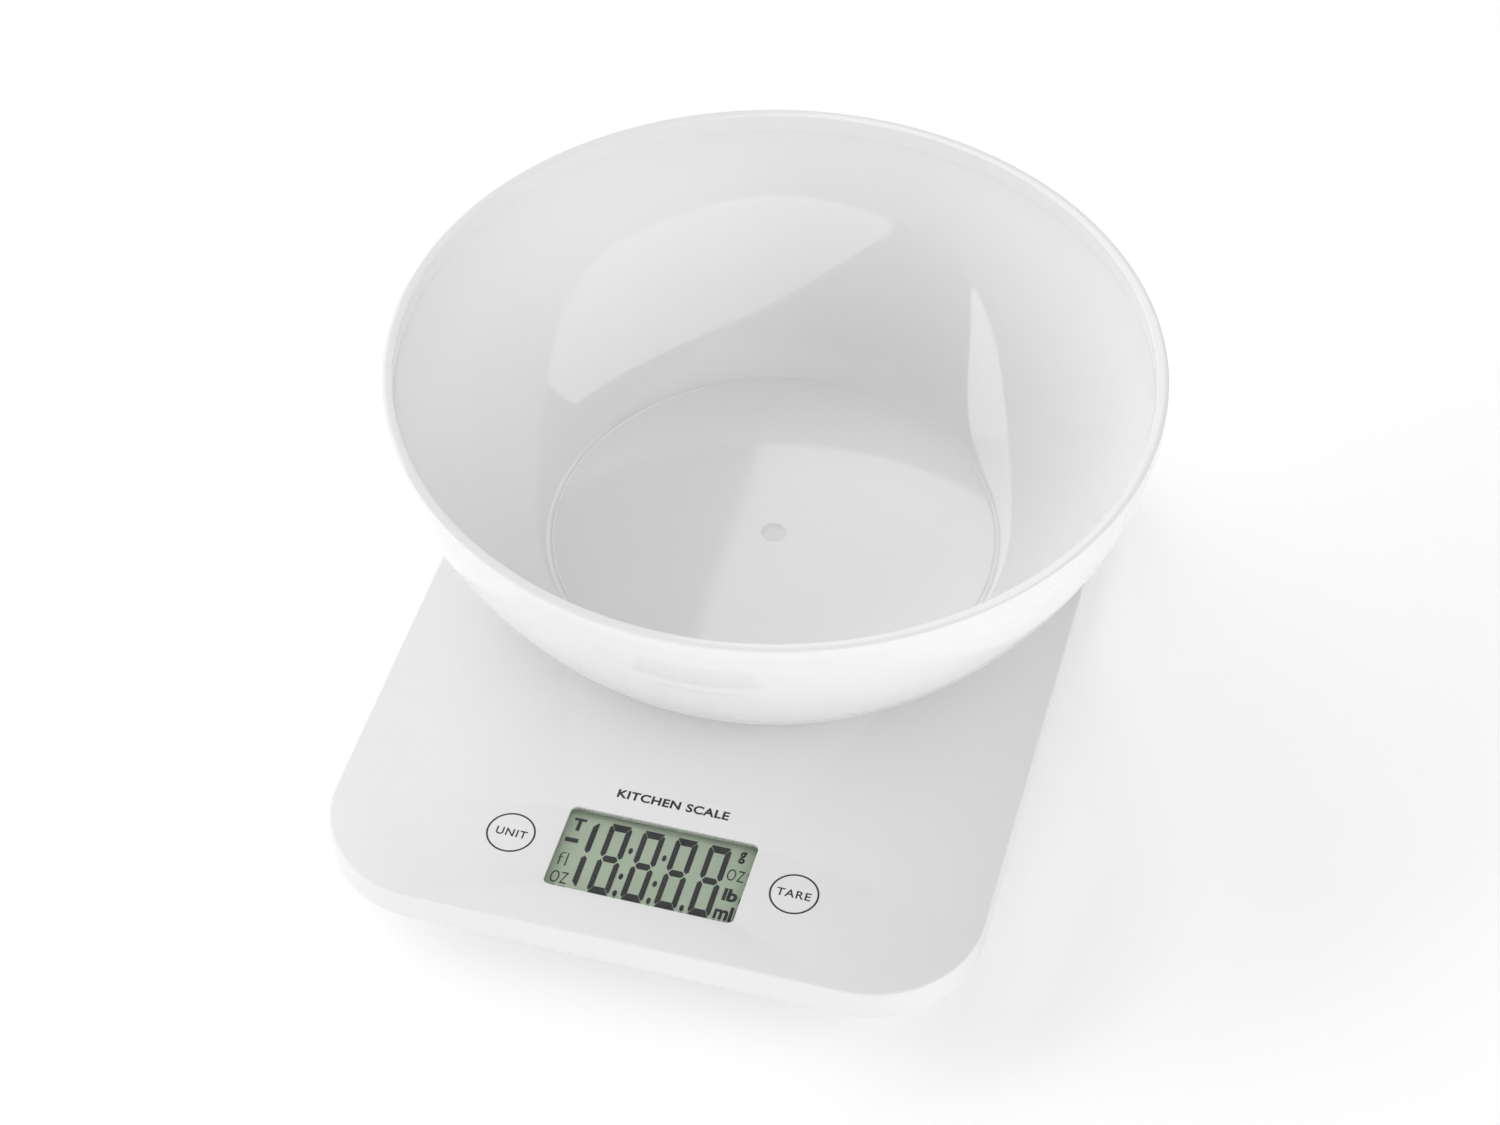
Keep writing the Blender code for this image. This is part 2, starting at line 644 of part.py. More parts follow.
def make_board():
    outline = rounded_rectangle(
        -BOARD_HALF_WIDTH, BOARD_HALF_WIDTH, BOARD_FRONT_Y, BOARD_REAR_Y, BOARD_CORNER, 3
    )
    holes = []
    for side in SIDES.values():
        centre = (side * BOARD_POST_SPACING / 2, BOARD_POST_Y)
        holes.append(arc(centre, BOARD_SCREW_HOLE_RADIUS, 0, 360, SMALL_STEPS)[:-1])
    place(slab("main_board", [outline, *holes], BOARD_Z, BOARD_TOP_Z), BOARD_GREEN)

    dome = arc((0.0, 0.0), 1.0, 90, 0, 4)
    chip_profile = [(CHIP_RADIUS * x, CHIP_HEIGHT * y) for x, y in dome] + [(0.0, 0.0)]
    chip_y = (BOARD_FRONT_Y + BOARD_REAR_Y) / 2
    chip = turned("chip_cover", chip_profile, (CHIP_X, chip_y, BOARD_Z - GAP), SMALL_STEPS,
                  (math.pi, 0.0, 0.0))
    place(chip, BLACK_RESIN)

    can = [
        (0.0, CAPACITOR_HEIGHT),
        (CAPACITOR_RADIUS - CAPACITOR_EDGE, CAPACITOR_HEIGHT),
        (CAPACITOR_RADIUS, CAPACITOR_HEIGHT - CAPACITOR_EDGE),
        (CAPACITOR_RADIUS, 0.0),
        (0.0, 0.0),
    ]
    capacitor = turned("capacitor", can, (CAPACITOR_X, BOARD_POST_Y, BOARD_TOP_Z + GAP), SMALL_STEPS)
    place(capacitor, STEEL)

    screw_profile = pan_head_screw(
        BOARD_SCREW_HEAD_RADIUS, BOARD_SCREW_HEAD_HEIGHT, BOARD_SCREW_RADIUS, BOARD_SCREW_LENGTH
    )
    for name, side in SIDES.items():
        location = (side * BOARD_POST_SPACING / 2, BOARD_POST_Y, BOARD_TOP_Z + GAP)
        place(turned("board_screw_" + name, screw_profile, location, SMALL_STEPS), STEEL)

    spring_low = BOARD_TOP_Z + GAP + KEY_SPRING_WIRE_RADIUS
    spring_high = CEILING_Z - GAP - KEY_SPRING_WIRE_RADIUS
    points = coil_points(KEY_SPRING_RADIUS, KEY_SPRING_RADIUS, spring_high - spring_low,
                         KEY_SPRING_TURNS)
    for name, side in (("touch_spring_unit", -1), ("touch_spring_tare", 1)):
        location = (side * KEY_X, FRONT_Y + KEY_FROM_FRONT, spring_low)
        place(wire(name, points, KEY_SPRING_WIRE_RADIUS, location), BRASS)


def pan_head_screw(head_radius, head_height, radius, length):
    """A screw with its head's underside at height 0 and its shank going down."""
    dome = arc((0.0, 0.0), 1.0, 90, 0, 3)
    head = [(head_radius * x, head_height * y) for x, y in dome]
    tip = radius / 2
    return head + [(radius, 0.0), (radius, -length + tip), (radius - tip, -length), (0.0, -length)]


# ---------------------------------------------------------------- lower casing

def well_box(work, x, y, half, low, high):
    add_box(work, (x - half, y - half, low), (x + half, y + half, high))


def corner_places():
    """Name, side, row and centre of each of the four weighing corners."""
    for row, y in FOOT_ROWS.items():
        for side_name, side in SIDES.items():
            yield row + "_" + side_name, side, row, side * FOOT_X, y


def add_lead_notch(work, side, row, x, y):
    """The gap in a well's wall where the cell's lead comes out."""
    reach = WELL_HALF + OVERSHOOT
    low = CELL_SEAT_Z - GAP
    high = WELL_TOP_Z + OVERSHOOT
    half = LEAD_NOTCH / 2
    if row == "front":
        inner, outer = sorted((x - side * CELL_SIZE / 2, x - side * reach))
        add_box(work, (inner, y - half, low), (outer, y + half, high))
    else:
        add_box(work, (x - half, y - reach, low), (x + half, y - CELL_SIZE / 2, high))


def make_bottom_shell():
    shell = slab("bottom_shell", [plate_outline(PAN_INSET)], UNDERSIDE_Z, FLANGE_TOP_Z - ROOTED)
    round_edges(shell, PAN_EDGE_ROUND, 2)
    flange = slab("flange", [plate_outline(SKIRT_WALL + GAP)], SKIRT_Z, FLANGE_TOP_Z)
    combine(shell, flange, "UNION")

    tub_grow = FRAME_GROW + GAP
    tub_z = FRAME_Z - GAP
    tub = box(
        "display_tub",
        (-GLASS_HALF - tub_grow - TUB_WALL, GLASS_FRONT_Y - tub_grow - TUB_WALL, tub_z - TUB_WALL),
        (GLASS_HALF + tub_grow + TUB_WALL, BOARD_FRONT_Y, FLANGE_TOP_Z - ROOTED / 2),
    )
    combine(shell, tub, "UNION")
    hollow = slab("pan_hollow", [plate_outline(PAN_INSET + PAN_WALL)], PAN_FLOOR_Z,
                  FLANGE_TOP_Z + OVERSHOOT)
    combine(shell, hollow, "DIFFERENCE")
    display_pocket = slab("display_pocket", [frame_outline(tub_grow)], tub_z, FLANGE_TOP_Z + OVERSHOOT)
    combine(shell, display_pocket, "DIFFERENCE")

    inner = bmesh.new()
    root_z = PAN_FLOOR_Z - ROOTED
    add_box(inner,
            (-BAY_HALF_LENGTH - BAY_WALL, BAY_Y - BAY_HALF_WIDTH - BAY_WALL, root_z),
            (BAY_HALF_LENGTH + BAY_WALL, BAY_Y + BAY_HALF_WIDTH + BAY_WALL, BAY_TOP_Z))
    holes = bmesh.new()
    add_box(holes,
            (-BAY_HALF_LENGTH, BAY_Y - BAY_HALF_WIDTH, UNDERSIDE_Z - OVERSHOOT),
            (BAY_HALF_LENGTH, BAY_Y + BAY_HALF_WIDTH, BAY_CEILING_Z))
    fine_holes = bmesh.new()
    for x, y in CASE_SCREWS.values():
        for side in SIDES.values():
            tower_radius = SCREW_HEAD_HOLE_RADIUS + TOWER_WALL
            add_post(inner, side * x, y, tower_radius, root_z, TOWER_TOP_Z, SMALL_STEPS)
            add_post(holes, side * x, y, SCREW_HEAD_HOLE_RADIUS, UNDERSIDE_Z - OVERSHOOT,
                     SCREW_SEAT_Z, SMALL_STEPS)
            add_post(fine_holes, side * x, y, SCREW_HOLE_RADIUS, SCREW_SEAT_Z - ROOTED,
                     TOWER_TOP_Z + OVERSHOOT, SMALL_STEPS)
    for side in SIDES.values():
        x = side * BOARD_POST_SPACING / 2
        add_post(inner, x, BOARD_POST_Y, BOARD_POST_RADIUS, root_z, BOARD_Z - GAP, SMALL_STEPS)
        hole_low = BOARD_TOP_Z - BOARD_SCREW_LENGTH
        add_post(holes, x, BOARD_POST_Y, BOARD_SCREW_HOLE_RADIUS, hole_low, BOARD_Z + OVERSHOOT,
                 SMALL_STEPS)
    for _, side, row, x, y in corner_places():
        well_box(inner, x, y, WELL_HALF, root_z, WELL_TOP_Z)
        well_box(holes, x, y, CELL_SIZE / 2 - CELL_SEAT, PAN_FLOOR_Z, WELL_TOP_Z + OVERSHOOT)
        well_box(fine_holes, x, y, CELL_SIZE / 2 + GAP, CELL_SEAT_Z, WELL_TOP_Z + OVERSHOOT)
    combine(shell, from_bmesh("pan_fittings", inner), "UNION")
    combine(shell, from_bmesh("pan_holes", holes), "DIFFERENCE")
    combine(shell, from_bmesh("pan_fine_holes", fine_holes), "DIFFERENCE")

    slots = bmesh.new()
    for _, side, row, x, y in corner_places():
        foot_hole = FOOT_STEM_RADIUS + FOOT_HOLE_CLEARANCE
        add_post(slots, x, y, foot_hole, UNDERSIDE_Z - OVERSHOOT, PAN_FLOOR_Z + ROOTED)
        add_lead_notch(slots, side, row, x, y)
    hook_half = HOOK_WIDTH / 2 + COVER_CLEARANCE
    slot_top = PAN_FLOOR_Z + GAP + HOOK_THICKNESS + HOOK_SWING_ROOM
    for side in SIDES.values():
        x = side * HOOK_SPACING / 2
        add_box(slots,
                (x - hook_half, BAY_Y + BAY_HALF_WIDTH - ROOTED, PAN_FLOOR_Z - HOOK_SLOT_DIP),
                (x + hook_half, BAY_Y + BAY_HALF_WIDTH + BAY_WALL + OVERSHOOT, slot_top))
    combine(shell, from_bmesh("pan_slots", slots), "DIFFERENCE")
    place(shell, WHITE_SATIN)


def make_case_screws():
    shank = SCREW_HOLE_TOP_Z - GAP - (SCREW_SEAT_Z - GAP)
    profile = pan_head_screw(SCREW_HEAD_RADIUS, SCREW_HEAD_HEIGHT, SCREW_RADIUS, shank)
    for row, (x, y) in CASE_SCREWS.items():
        for name, side in SIDES.items():
            location = (side * x, y, SCREW_SEAT_Z - GAP)
            screw = turned("case_screw_" + row + "_" + name, profile, location, SMALL_STEPS,
                           (math.pi, 0.0, 0.0))
            place(screw, STEEL)


# ---------------------------------------------------------------- batteries and cover

def make_batteries():
    body = BATTERY_LENGTH - BATTERY_NUB_LENGTH
    profile = [
        (0.0, BATTERY_LENGTH),
        (BATTERY_NUB_RADIUS, BATTERY_LENGTH),
        (BATTERY_NUB_RADIUS, body),
        (BATTERY_RADIUS - BATTERY_EDGE, body),
        (BATTERY_RADIUS, body - BATTERY_EDGE),
        (BATTERY_RADIUS, BATTERY_EDGE),
        (BATTERY_RADIUS - BATTERY_EDGE, 0.0),
        (0.0, 0.0),
    ]
    spring = coil_points(CONTACT_SPRING_RADIUS, CONTACT_SPRING_TIP,
                         CONTACT_SPRING_LENGTH - 2 * GAP - 2 * CONTACT_WIRE_RADIUS,
                         CONTACT_SPRING_TURNS)
    # The nub of the front battery points right, that of the rear one left.
    for name, way in (("front", 1), ("rear", -1)):
        y = BAY_Y - way * BATTERY_OFFSET_Y
        nub_tip = way * (CONTACT_X - GAP)
        flat_end = nub_tip - way * BATTERY_LENGTH
        turn = (0.0, way * math.pi / 2, 0.0)
        battery = turned("battery_" + name, profile, (flat_end, y, BATTERY_Z), ROUND_STEPS, turn)
        place(battery, BATTERY_SKIN)
        spring_start = -way * (CONTACT_X - GAP - CONTACT_WIRE_RADIUS)
        coil = wire("contact_spring_" + name, spring, CONTACT_WIRE_RADIUS,
                    (spring_start, y, BATTERY_Z), turn)
        place(coil, STEEL)

    low = COVER_TOP_Z + 2 * GAP
    high = BAY_CEILING_Z - GAP
    outer = CONTACT_X + CONTACT_THICKNESS
    half = CONTACT_WIDTH / 2
    bridge = box("contact_bridge",
                 (-outer, BAY_Y - BATTERY_OFFSET_Y - half, low),
                 (-CONTACT_X, BAY_Y + BATTERY_OFFSET_Y + half, high))
    place(bridge, STEEL)
    for name, way in (("contact_positive", 1), ("contact_negative", -1)):
        y = BAY_Y - way * BATTERY_OFFSET_Y
        plate = box(name, (CONTACT_X, y - half, low), (outer, y + half, high))
        place(plate, STEEL)


def make_battery_cover():
    half_length = BAY_HALF_LENGTH - COVER_CLEARANCE
    front = BAY_Y - BAY_HALF_WIDTH + COVER_CLEARANCE
    rear = BAY_Y + BAY_HALF_WIDTH - COVER_CLEARANCE
    outline = rounded_rectangle(-half_length, half_length, front, rear, COVER_CORNER, 2)
    cover = slab("battery_cover", [outline], UNDERSIDE_Z, COVER_TOP_Z)

    hook_low = PAN_FLOOR_Z + GAP
    risers = bmesh.new()
    hooks = bmesh.new()
    for side in SIDES.values():
        x = side * HOOK_SPACING / 2
        add_box(risers,
                (x - HOOK_WIDTH / 2, rear - HOOK_ROOT, COVER_TOP_Z - ROOTED),
                (x + HOOK_WIDTH / 2, rear, hook_low + HOOK_THICKNESS / 2))
        add_box(hooks,
                (x - HOOK_WIDTH / 2, rear - HOOK_ROOT, hook_low),
                (x + HOOK_WIDTH / 2, rear + HOOK_REACH, hook_low + HOOK_THICKNESS))
    add_box(risers,
            (-LATCH_WIDTH / 2, front, COVER_TOP_Z - ROOTED),
            (LATCH_WIDTH / 2, front + LATCH_THICKNESS, COVER_TOP_Z + LATCH_HEIGHT))
    combine(cover, from_bmesh("cover_risers", risers), "UNION")
    combine(cover, from_bmesh("cover_hooks", hooks), "UNION")

    slits = bmesh.new()
    for side in SIDES.values():
        inner, outer = sorted((side * LATCH_WIDTH / 2, side * (LATCH_WIDTH / 2 + LATCH_SLIT_WIDTH)))
        add_box(slits,
                (inner, front - OVERSHOOT, UNDERSIDE_Z - OVERSHOOT),
                (outer, front + LATCH_SLIT_LENGTH, COVER_TOP_Z + OVERSHOOT))
    combine(cover, from_bmesh("latch_slits", slits), "DIFFERENCE")
    empty = joint_empty("cover_hinge", (0.0, rear, UNDERSIDE_Z))
    hang(place(cover, WHITE_SATIN), empty)


# ---------------------------------------------------------------- weighing corners

def make_corner(name, x, y):
    half = CELL_SIZE / 2
    tongue = CELL_TONGUE / 2
    slot = [
        (x - tongue - CELL_SLOT, y + tongue),
        (x - tongue - CELL_SLOT, y - tongue - CELL_SLOT),
        (x + tongue + CELL_SLOT, y - tongue - CELL_SLOT),
        (x + tongue + CELL_SLOT, y + tongue),
        (x + tongue, y + tongue),
        (x + tongue, y - tongue),
        (x - tongue, y - tongue),
        (x - tongue, y + tongue),
    ]
    outline = rounded_rectangle(x - half, x + half, y - half, y + half, CELL_CORNER, 2)
    cell = slab("load_cell_" + name, [outline, slot], CELL_Z, CELL_Z + CELL_THICKNESS)
    place(cell, STEEL)

    hole = half - RETAINER_WIDTH
    retainer = slab("cell_retainer_" + name,
                    [rectangle(x - half, x + half, y - half, y + half),
                     rectangle(x - hole, x + hole, y - hole, y + hole)],
                    RETAINER_Z, WELL_TOP_Z)
    place(retainer, WHITE_SATIN)

    gauge_rear = y + hole - GAP
    gauge = box("strain_gauge_" + name,
                (x - GAUGE_WIDTH / 2, gauge_rear - GAUGE_DEPTH, CELL_Z + CELL_THICKNESS + GAP),
                (x + GAUGE_WIDTH / 2, gauge_rear, CELL_Z + CELL_THICKNESS + GAP + GAUGE_THICKNESS))
    place(gauge, WHITE_GLUE)

    foot_low = PAD_HEIGHT + GAP
    nub_top = CELL_Z - FOOT_TRAVEL - GAP / 2
    flange_top = FOOT_FLANGE_Z + FOOT_FLANGE_HEIGHT
    flange_radius = FOOT_STEM_RADIUS + FOOT_HOLE_CLEARANCE + FOOT_FLANGE_OVERHANG
    profile = [
        (0.0, nub_top),
        (FOOT_NUB_RADIUS, nub_top),
        (FOOT_NUB_RADIUS, flange_top),
        (flange_radius, flange_top),
        (flange_radius, FOOT_FLANGE_Z),
        (FOOT_STEM_RADIUS, FOOT_FLANGE_Z),
        (FOOT_STEM_RADIUS, foot_low),
        (0.0, foot_low),
    ]
    empty = joint_empty("foot_axis_" + name, (x, y, 0.0))
    foot = turned("foot_" + name, profile, (x, y, 0.0))
    hang(place(foot, WHITE_SATIN), empty)
    pad_profile = [
        (0.0, PAD_HEIGHT),
        (PAD_RADIUS - PAD_EDGE, PAD_HEIGHT),
        (PAD_RADIUS, PAD_HEIGHT - PAD_EDGE),
        (PAD_RADIUS, PAD_EDGE),
        (PAD_RADIUS - PAD_EDGE, 0.0),
        (0.0, 0.0),
    ]
    pad = turned("foot_pad_" + name, pad_profile, (x, y, 0.0))
    hang(place(pad, RUBBER), empty)


# ---------------------------------------------------------------- leads

def knots_at(origin, side, offsets):
    """Knots placed from an origin; the offsets run towards the middle, to the rear and up."""
    x, y, z = origin
    return [(x - side * inwards, y + back, z + up) for inwards, back, up in offsets]


def make_leads():
    """Leads from the cells and the battery contacts, ending just under the board."""
    cell_middle_z = CELL_Z + CELL_THICKNESS / 2
    end_z = BOARD_Z - GAP
    on_floor_z = PAN_FLOOR_Z + GAP + CELL_LEAD_RADIUS
    reach = CELL_SIZE / 2 + GAP
    for name, side, row, x, y in corner_places():
        if row == "front":
            knots = knots_at((x - side * reach, y, cell_middle_z), side, FRONT_LEAD_LEAVES)
            knots += knots_at((side * BOARD_HALF_WIDTH, y, end_z), side, FRONT_LEAD_ARRIVES)
        else:
            knots = knots_at((x, y - reach, cell_middle_z), side, REAR_LEAD_LEAVES)
            knots += knots_at((x, y - reach, on_floor_z), side, REAR_LEAD_SETTLES)
            knots += knots_at((x, (y + BAY_Y) / 2, on_floor_z), side, REAR_LEAD_HALFWAY)
            knots += knots_at((x, BAY_Y, on_floor_z), side, REAR_LEAD_PASSES_BAY)
            front_well_rear = FOOT_ROWS["front"] + WELL_HALF
            knots += knots_at((side * BOARD_HALF_WIDTH, front_well_rear, on_floor_z), side,
                              REAR_LEAD_TURNS_IN)
            knots += knots_at((side * BOARD_HALF_WIDTH, front_well_rear, end_z), side,
                              REAR_LEAD_ARRIVES)
        lead = wire("cell_lead_" + name, smooth_route(knots, LEAD_STEPS), CELL_LEAD_RADIUS)
        place(lead, LEAD_GREY)

    start_x = BAY_HALF_LENGTH + BAY_WALL + GAP
    for name, way, material in (("positive", 1, LEAD_RED), ("negative", -1, LEAD_BLACK)):
        y = BAY_Y - way * BATTERY_OFFSET_Y
        run_x = start_x + BATTERY_LEAD_RUN - way * BATTERY_LEADS_APART / 2
        knots = [(start_x, y, BATTERY_Z - BATTERY_LEAD_DROP)]
        knots += knots_at((run_x, y, BATTERY_Z), 1, BATTERY_LEAD_TURNS)
        knots += knots_at((run_x, BAY_Y - BAY_HALF_WIDTH, BATTERY_Z), 1, BATTERY_LEAD_PASSES_BAY)
        knots += knots_at((run_x, BOARD_REAR_Y, end_z), 1, BATTERY_LEAD_ARRIVES)
        lead = wire("battery_lead_" + name, smooth_route(knots, LEAD_STEPS), BATTERY_LEAD_RADIUS)
        place(lead, material)


WHITE_GLOSS = plain_material("bowl_plastic", (0.86, 0.86, 0.86), 0.15)
WHITE_SATIN = plain_material("case_plastic", (0.84, 0.84, 0.84), 0.4)
CLEAR = plain_material("clear_glass", (0.75, 0.82, 0.74), 0.05)
LCD_GREEN = plain_material("lcd_grey_green", (0.36, 0.42, 0.33), 0.35)
BOARD_GREEN = plain_material("board_laminate", (0.05, 0.22, 0.09), 0.45)
BLACK_RESIN = plain_material("black_resin", (0.02, 0.02, 0.02), 0.35)
RUBBER = plain_material("grey_rubber", (0.45, 0.45, 0.46), 0.8)
STEEL = plain_material("plated_steel", (0.62, 0.62, 0.60), 0.3, 1.0)
BRASS = plain_material("spring_brass", (0.75, 0.6, 0.35), 0.3, 1.0)
BATTERY_SKIN = plain_material("battery_skin", (0.12, 0.13, 0.16), 0.4)
WHITE_GLUE = plain_material("gauge_silicone", (0.8, 0.8, 0.76), 0.5)
LEAD_GREY = plain_material("cell_lead_grey", (0.5, 0.5, 0.5), 0.5)
LEAD_RED = plain_material("lead_red", (0.6, 0.04, 0.03), 0.5)
LEAD_BLACK = plain_material("lead_black", (0.03, 0.03, 0.03), 0.5)

make_top_shell()
make_bottom_shell()
make_display()
make_board()
make_batteries()
make_battery_cover()
make_case_screws()
for corner_name, _, _, corner_x, corner_y in corner_places():
    make_corner(corner_name, corner_x, corner_y)
make_leads()
make_bowl()
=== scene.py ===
"""Looks of a flat kitchen scale: satin platform, lift-off bowl, display and touch keys.

Metres, +Z up, the front edge with the display towards -Y. Sizes and places come from the
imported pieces, and the finer pieces are built to fit the same space.
"""

import math

import bmesh
import bpy
from mathutils import Matrix, Vector


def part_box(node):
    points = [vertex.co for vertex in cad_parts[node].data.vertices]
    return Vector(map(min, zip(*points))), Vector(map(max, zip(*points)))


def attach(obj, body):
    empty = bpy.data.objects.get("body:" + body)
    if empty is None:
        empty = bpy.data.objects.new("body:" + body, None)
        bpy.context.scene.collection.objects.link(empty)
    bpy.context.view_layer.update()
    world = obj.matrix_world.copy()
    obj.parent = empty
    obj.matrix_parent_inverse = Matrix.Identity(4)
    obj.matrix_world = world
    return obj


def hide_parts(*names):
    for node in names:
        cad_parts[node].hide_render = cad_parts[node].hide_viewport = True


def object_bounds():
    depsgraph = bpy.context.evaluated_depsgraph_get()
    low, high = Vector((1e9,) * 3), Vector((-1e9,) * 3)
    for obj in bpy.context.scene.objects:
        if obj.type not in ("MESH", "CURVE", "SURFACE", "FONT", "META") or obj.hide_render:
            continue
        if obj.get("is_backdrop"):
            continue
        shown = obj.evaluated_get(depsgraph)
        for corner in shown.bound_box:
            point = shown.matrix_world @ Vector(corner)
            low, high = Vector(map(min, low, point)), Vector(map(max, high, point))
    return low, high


MM = 0.001

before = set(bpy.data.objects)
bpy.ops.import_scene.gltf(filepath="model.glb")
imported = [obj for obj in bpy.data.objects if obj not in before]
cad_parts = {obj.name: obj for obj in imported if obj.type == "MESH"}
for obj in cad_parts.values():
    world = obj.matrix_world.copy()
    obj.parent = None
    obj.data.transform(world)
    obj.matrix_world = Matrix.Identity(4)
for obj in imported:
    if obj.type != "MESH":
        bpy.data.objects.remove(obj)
cad_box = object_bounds()

# ---------------- sizes taken from the pieces

SHELL_LOW, SHELL_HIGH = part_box("top_shell")
FRONT_Y = SHELL_LOW.y
REAR_Y = SHELL_HIGH.y
HALF_WIDTH = SHELL_HIGH.x
PLATFORM_Z = SHELL_HIGH.z
SKIRT_Z = SHELL_LOW.z
LENS_LOW, LENS_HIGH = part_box("display_lens")
BOWL_LOW, BOWL_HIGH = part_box("bowl")
BOWL_CENTRE = Vector((0.0, (BOWL_LOW.y + BOWL_HIGH.y) / 2, BOWL_LOW.z))

# Platform
PLATE_CORNER = 25.5 * MM
EDGE_ROUND = 0.6 * MM
SKIRT_WALL = 2.0 * MM
CEILING_Z = LENS_LOW.z
BOSS_RADIUS = 3.2 * MM
BOSS_HOLE_RADIUS = 1.6 * MM
BOSS_TIP = 1.4 * MM

# Display opening and lens
WINDOW_HALF_WIDTH = 21.75 * MM
WINDOW_FRONT = FRONT_Y + 11.37 * MM
WINDOW_REAR = WINDOW_FRONT + 22.75 * MM
WINDOW_CORNER = 1.5 * MM
LENS_MARGIN = 1.5 * MM
LENS_FLANGE = 0.9 * MM
CLEARANCE = 0.3 * MM

# Bowl, heights above its own underside
BASE_RADIUS = 53.5 * MM
BASE_PULL = 11.0 * MM
WALL_RADIUS = 89.3 * MM
WALL_HEIGHT = 54.6 * MM
WALL_PULL = 19.0 * MM
WALL = 2.2 * MM
BAND_RADIUS = 89.75 * MM
BAND_HEIGHT = 4.1 * MM
RIM_WIDTH = 2.65 * MM

# Printed marks
KEY_X = 32.65 * MM
KEY_Y = FRONT_Y + 22.9 * MM
KEY_RING_RADIUS = 5.35 * MM
KEY_RING_STROKE = 0.42 * MM
KEY_LETTER_HEIGHT = 2.15 * MM
KEY_LETTER_WEIGHT = 0.012
KEY_LETTER_SPACING = 1.12
TITLE_Y = FRONT_Y + 40.2 * MM
INK_HEIGHT = 0.02 * MM
INK_LIFT = 0.004 * MM

# Display segments
DISPLAY_MIDDLE = Vector((0.12 * MM, FRONT_Y + 22.875 * MM))
SEGMENT_LIFT = 0.01 * MM
SEGMENT_HEIGHT = 0.03 * MM
FIRST_DIGIT_X = -9.76 * MM
DIGIT_PITCH = 7.65 * MM

# Springs
WIRE_RADIUS = 0.3 * MM
KEY_COIL_RADIUS = 4.0 * MM
KEY_COIL_TURNS = 3.5
CELL_COIL_TURNS = 2.5
CELL_COIL_WIDE = 3.4 * MM
CELL_COIL_NARROW = 2.2 * MM
CELL_COIL_LENGTH = 2.3 * MM

# Weighing corners
CORNERS = ("front_left", "front_right", "rear_left", "rear_right")
STEM_RADIUS = 6.0 * MM
FLANGE_LOW = 4.5 * MM
FLANGE_HIGH = 5.7 * MM
NOSE_RADIUS = 2.0 * MM
GROOVE_DEPTH = 0.25 * MM
GROOVE_RADII = (1.8 * MM, 3.6 * MM, 5.4 * MM)

# Studio
LIT_POINT = Vector((0.0, 0.018, 0.06))
PANEL_AWAY = 1.2
WALL_START = 0.2
WORLD_GLOW = 0.22
FLOOR_GLOW = 0.2
FLOOR_RADIUS = 4.0


# ---------------- materials

def new_material(name, colour, roughness, **constants):
    """A material with its shader's constants set on the shader's own sockets."""
    material = bpy.data.materials.new(name)
    material.use_nodes = True
    shader = material.node_tree.nodes["Principled BSDF"]
    shader.inputs["Base Color"].default_value = (*colour, 1.0)
    shader.inputs["Roughness"].default_value = roughness
    for key, value in constants.items():
        shader.inputs[key.replace("_", " ").title().replace("Ior", "IOR")].default_value = value
    return material, shader


def add_node(material, kind, **values):
    node = material.node_tree.nodes.new(kind)
    for key, value in values.items():
        setattr(node, key, value)
    return node


def noise(material, scale, detail=2.0, stretch=None):
    """Noise on the piece's own coordinates; scale counts features to the metre."""
    links = material.node_tree.links
    place = add_node(material, "ShaderNodeTexCoord")
    source = place.outputs["Object"]
    if stretch:
        mapping = add_node(material, "ShaderNodeMapping")
        mapping.inputs["Scale"].default_value = stretch
        links.new(source, mapping.inputs["Vector"])
        source = mapping.outputs["Vector"]
    texture = add_node(material, "ShaderNodeTexNoise")
    texture.inputs["Scale"].default_value = scale
    texture.inputs["Detail"].default_value = detail
    links.new(source, texture.inputs["Vector"])
    return texture.outputs["Fac"]


def spread(material, value, low, high, start=0.3, end=0.7):
    """A value between start and end carried over to low and high."""
    reach = add_node(material, "ShaderNodeMapRange")
    reach.inputs["From Min"].default_value = start
    reach.inputs["From Max"].default_value = end
    reach.inputs["To Min"].default_value = low
    reach.inputs["To Max"].default_value = high
    material.node_tree.links.new(value, reach.inputs["Value"])
    return reach.outputs["Result"]


def shade_between(material, value, dark, light):
    mix = add_node(material, "ShaderNodeMix", data_type="RGBA")
    mix.inputs["A"].default_value = (*dark, 1.0)
    mix.inputs["B"].default_value = (*light, 1.0)
    material.node_tree.links.new(value, mix.inputs["Factor"])
    return mix.outputs["Result"]


def grain(material, shader, height_source, distance):
    bump = add_node(material, "ShaderNodeBump")
    bump.inputs["Distance"].default_value = distance
    links = material.node_tree.links
    links.new(height_source, bump.inputs["Height"])
    links.new(bump.outputs["Normal"], shader.inputs["Normal"])


def moulded(name, dark, light, gloss, grain_scale, grain_height, mottle=9.0):
    """Moulded plastic: slow shifts of tone and gloss, and a fine even surface grain."""
    material, shader = new_material(name, light, gloss[0])
    links = material.node_tree.links
    tone = spread(material, noise(material, mottle, 3.0), 0.0, 1.0)
    links.new(shade_between(material, tone, dark, light), shader.inputs["Base Color"])
    polish = spread(material, noise(material, mottle * 7, 4.0), gloss[0], gloss[1])
    links.new(polish, shader.inputs["Roughness"])
    grain(material, shader, noise(material, grain_scale, 2.0), grain_height)
    return material


